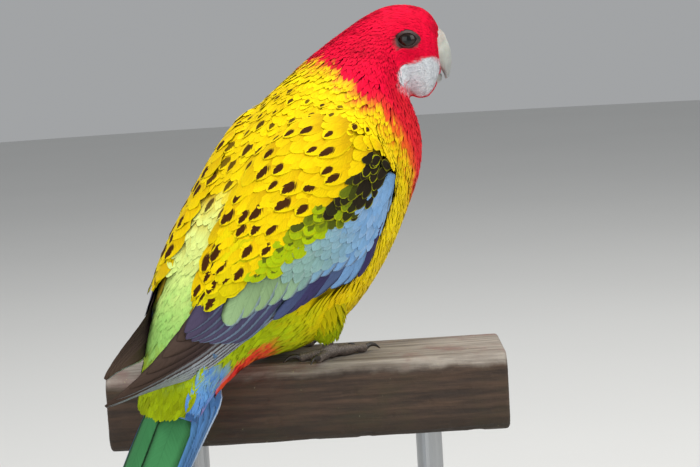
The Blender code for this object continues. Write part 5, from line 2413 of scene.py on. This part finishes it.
@dataclass
class ThighCoat:
    """Loose plumes over both thighs, fuller than the legs under them.

    Attributes:
        legs: the legs.
        ink: the colours.
        chance: random source.
        radii: the coat's radii down each leg, as the legs' own.
        lengths: the plumes' length at the shank and at the top.
    """

    legs: Legs
    ink: Palette
    chance: Chance
    radii: tuple = (10.5, 10.5, 9.0, 6.8, 4.6, 2.6)
    lengths: tuple = (5.0, 11.0)

    def tract(self, surface: Surface) -> Tract:
        """The plumes of one thigh.

        Args:
            surface: the thigh's outer surface.

        Returns:
            the plumes.
        """
        chance, ink = self.chance, self.ink
        a, _ = surface.grid(THIGH_GRID)
        length = np.interp(a, (0.25, 1.0), self.lengths)
        at, turn = scatter(surface, 6.0 / (length**2 * 0.30) * (a > 0.26), chance)
        count = len(at)
        size = np.interp(at, (0.25, 1.0), self.lengths) * chance.uniform(0.85, 1.15, count)
        path = straight_path(surface, at, turn, size, chance.normal(0, 8.0, count))
        cloud = chance.random(count)
        tint = blend(blend(ink.lime, ink.olive, cloud), ink.yellow_deep, 0.5 * smooth(0.5, 0.9, at))
        lift = stack(count, np.interp(at, (0.25, 0.6, 1.0), (-1.6, -4.0, -4.5)), 0.4 * cloud)
        edge = inked(np.clip(tint * 1.25, 0, 1), 0.4)
        roll = chance.normal(0, 8.0, count)
        # the roots painted darker than the tips: painted shade under the covering feathers
        return Tract(Cut.PLUME, path, size * 0.40, lift, tint * 0.85, tint, roll, edge=edge, lip=(0.75, 0.0, 0.9))

    def build(self) -> None:
        """Makes the plumes: lime green over the thigh, shorter towards the bare shank."""
        laid = []
        for side in (1, -1):
            surface = Legs(path=self.legs.path, radii=self.radii).surface(side)
            laid.append(lay(surface, self.tract(surface), self.chance))
        for index, part in enumerate(laid):
            part.places[..., 1] += 400.0 * index
        thing = dress("coat_thighs", laid, PlumageFinish("plumage_thighs").build())
        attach(thing, "root")


# ---- stand, rail and studio ----------------------------------------------------------------
def dress_node(name: str, finish: Material) -> None:
    """Gives a carried-over node its material."""
    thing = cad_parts[name]
    for slot in thing.material_slots:
        slot.material = finish
    if not thing.material_slots:
        thing.data.materials.append(finish)


@dataclass(frozen=True)
class Stand:
    """The display stand: a painted base and two steel rods under the rail."""

    def build(self) -> None:
        """Gives the stand's nodes their materials."""
        painted = StandFinish("stand_paint", (206, 206, 202), 0.0, 0.45, (900.0, 900.0, 900.0)).build()
        dress_node("stand_base", painted)
        steel = StandFinish("stand_steel", (168, 170, 172), 1.0, 0.32, (900.0, 900.0, 30.0)).build()
        for name in ("stand_rod_a", "stand_rod_b"):
            dress_node(name, steel)


@dataclass(frozen=True)
class Rail:
    """The short cut length of weathered rail that the bird grips.

    Attributes:
        length, depth, height: size of the cut length.
        rounding: radius of its long edges.
        back: how far its middle lies behind the feet.
        turn: how far it runs to the right of the trunk's heading, in degrees.
    """

    length: float = 150.0
    depth: float = 48.0
    height: float = 30.0
    rounding: float = 7.0
    back: float = 2.0
    turn: float = 40.0

    def profile(self, count: int) -> Array:
        """Rounded rectangle: points at even steps of angle round its middle.

        Args:
            count: points.

        Returns:
            (count, 2) points, across and up.
        """
        corner = np.array([self.depth, self.height]) / 2 - self.rounding
        turn = np.linspace(0.0, 2 * math.pi, count, endpoint=False) + math.pi / count
        ray = np.stack([np.cos(turn), np.sin(turn)], axis=1)
        sides = np.array([self.depth, self.height]) / 2
        reach = (sides / np.maximum(np.abs(ray), 1e-6)).min(axis=1)
        square = ray * reach[:, None]
        core = np.clip(square, -corner, corner)
        return core + unit(square - core) * self.rounding

    def build(self) -> Thing:
        """Makes the rail: its profile drawn along it, worn inwards by grain, cracks and dents."""
        around, count = 220, 300
        profile = self.profile(around)
        x = np.linspace(-self.length / 2, self.length / 2, count)
        ease = np.clip((self.length / 2 - np.abs(x)) / 1.6, 0.0, 1.0)
        shrink = 1.0 - 0.05 * (1.0 - np.sqrt(1.0 - (1.0 - ease) ** 2))
        flat = profile[None] * shrink[:, None, None]
        grid = np.concatenate([np.broadcast_to(x[:, None, None], (count, around, 1)), flat], axis=2)
        stretched = grid * np.array([0.12, 1.0, 1.0])
        grain = 0.5 + 0.5 * ripple(stretched, 1.7, 21)
        crack = smooth(0.75, 1.0, ripple(stretched * [0.5, 1.0, 1.0], 5.0, 22))
        crack = crack * smooth(0.0, 0.4, ripple(grid, 50.0, 23))
        dents = smooth(0.55, 1.1, ripple(grid, 9.0, 24))
        sides = smooth(self.height / 2, self.height / 2 - 4.0, grid[..., 2])
        swells = 0.5 + 0.5 * ripple(grid, 30.0, 25)
        wear = 0.18 * grain + 0.5 * crack + 0.35 * dents * (0.3 + 0.7 * sides) + 0.25 * swells
        inward = unit(np.concatenate([np.zeros((count, around, 1)), flat], axis=2))
        worn = grid - inward * (wear * (0.4 + 0.6 * sides))[..., None]
        turn = math.radians(-self.turn)
        spin = np.array([[math.cos(turn), math.sin(turn), 0], [-math.sin(turn), math.cos(turn), 0], [0, 0, 1]])
        middle = np.array([self.back * math.sin(-turn), self.back * math.cos(turn), -self.height / 2])
        return solid_from_tubes("rail_timber", [worn @ spin + middle])

    def dress(self, thing: Thing) -> None:
        """Gives the rail its material, hangs it under the root and hides the perch node."""
        thing.data.materials.append(TimberFinish(turn=self.turn).build())
        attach(thing, "root")
        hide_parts("perch")


@dataclass(frozen=True)
class Studio:
    """Pale floor, soft lights and the camera.

    Attributes:
        camera: the camera's place in the bird's frame.
        heading: how far the view looks to the left of the trunk's right side, in degrees.
        down: how far it looks down.
        tilt: how far the picture leans.
        lens: focal length on a sensor 36 mm wide.
        lamps: name, place over the floor, size, power and tint of each light.
    """

    camera: tuple = (-421.75, -532.80, 128.87)
    heading: float = 40.0
    down: float = 7.0
    tilt: float = 3.5
    lens: float = 92.57
    lamps: tuple = (
        ("light_over", (120.0, -150.0, 1500.0), 1.0, 20.0, (1.0, 0.99, 0.97)),
        ("light_side", (450.0, -1150.0, 700.0), 0.9, 6.0, (1.0, 0.98, 0.95)),
        ("light_fill", (-1200.0, -500.0, 420.0), 1.2, 7.0, (0.95, 0.98, 1.0)),
    )

    def floor(self) -> None:
        """A wide low disc with its top at z = 0."""
        turn = np.linspace(0.0, 2 * math.pi, 96, endpoint=False)
        rim = np.stack([np.cos(turn), np.sin(turn), 0 * turn], axis=1) * 4000.0
        rings = np.stack([rim + UP * (-PERCH_TOP - 40.0), rim + UP * (-PERCH_TOP - 0.05)])
        thing = solid_from_tubes("studio_floor", [rings])
        thing.data.shade_flat()
        thing.data.materials.append(FloorFinish().build())

    def lamp(self, name: str, place: tuple, size: float, power: float, tint: tuple) -> None:
        """A square soft light, aimed at the bird's middle.

        Args:
            name: the light's name.
            place: where it hangs, in millimetres over the floor.
            size: its side in metres.
            power: watts.
            tint: its colour.
        """
        light = bpy.data.lights.new(name, "AREA")
        light.size, light.energy, light.color = size, power, tint
        thing = bpy.data.objects.new(name, light)
        at, aim = Vector(place) * MM, Vector((-20.0, -5.0, 200.0)) * MM
        thing.location = at
        thing.rotation_euler = (aim - at).to_track_quat("-Z", "Y").to_euler()
        bpy.context.scene.collection.objects.link(thing)

    def build(self) -> None:
        """Makes the floor, the pale surroundings, the camera and the lights."""
        self.floor()
        self.surroundings()
        self.aim()
        for lamp in self.lamps:
            self.lamp(*lamp)

    def surroundings(self) -> None:
        """Pale light from all sides, shown as it is."""
        world = bpy.data.worlds.new("studio")
        world.use_nodes = True
        background = world.node_tree.nodes["Background"]
        background.inputs["Color"].default_value = (0.86, 0.88, 0.90, 1.0)
        background.inputs["Strength"].default_value = 0.42
        bpy.context.scene.world = world
        bpy.context.scene.view_settings.view_transform = "Standard"

    def aim(self) -> None:
        """Makes the camera and points it along its heading, tipped down and leaning a little."""
        psi, down, tilt = (math.radians(value) for value in (self.heading, self.down, self.tilt))
        right = np.array([math.cos(psi), -math.sin(psi), 0.0])
        level = np.array([math.sin(psi), math.cos(psi), 0.0])
        look = level * math.cos(down) - UP * math.sin(down)
        high = level * math.sin(down) + UP * math.cos(down)
        across = right * math.cos(tilt) - high * math.sin(tilt)
        upward = right * math.sin(tilt) + high * math.cos(tilt)
        lens = bpy.data.cameras.new("camera")
        lens.lens, lens.sensor_width, lens.clip_end = self.lens, 36.0, 20.0
        thing = bpy.data.objects.new("camera", lens)
        matrix = Matrix.Identity(4)
        for column, axis in enumerate((across, upward, -look)):
            matrix.col[column][:3] = axis
        matrix.translation = (Vector(self.camera) + Vector(UP) * PERCH_TOP) * MM
        thing.matrix_world = matrix
        bpy.context.scene.collection.objects.link(thing)
        bpy.context.scene.camera = thing


def main() -> None:
    """Builds every sub-assembly in order and reports each."""
    logging.basicConfig(level=logging.INFO, format="%(message)s")
    chance = np.random.default_rng(7)
    shape = BodyShape()
    surface = shape.surface()
    ink = Palette()
    markings = Markings(shape, ink)
    legs = Legs()
    Studio().build()
    Stand().build()
    rail = Rail()
    rail.dress(rail.build())
    log.info("stand, rail and studio done")
    Skin(markings).build(surface, legs)
    wings = {name: WingShape().surface(shape, side) for name, side in (("right", 1), ("left", -1))}
    raised = surface.height_of(list(wings.values()))
    BodyCoat(surface.lifted(raised), surface, raised, markings, chance).build()
    ThighCoat(legs, ink, chance).build()
    log.info("body coat done")
    for name, side in (("right", 1), ("left", -1)):
        sheet = WingShape().surface(shape, side, flat=True)
        WingCoat(wings[name], sheet, side, name, ink, chance).build()
    TailCoat(TailShape(), ink, chance).build()
    log.info("wings and tail done")
    Bill().build(shape, ink)
    Eyes().build(shape)
    Feet().build()
    log.info("bill, eyes and feet done")


if __name__ == "__main__":
    main()
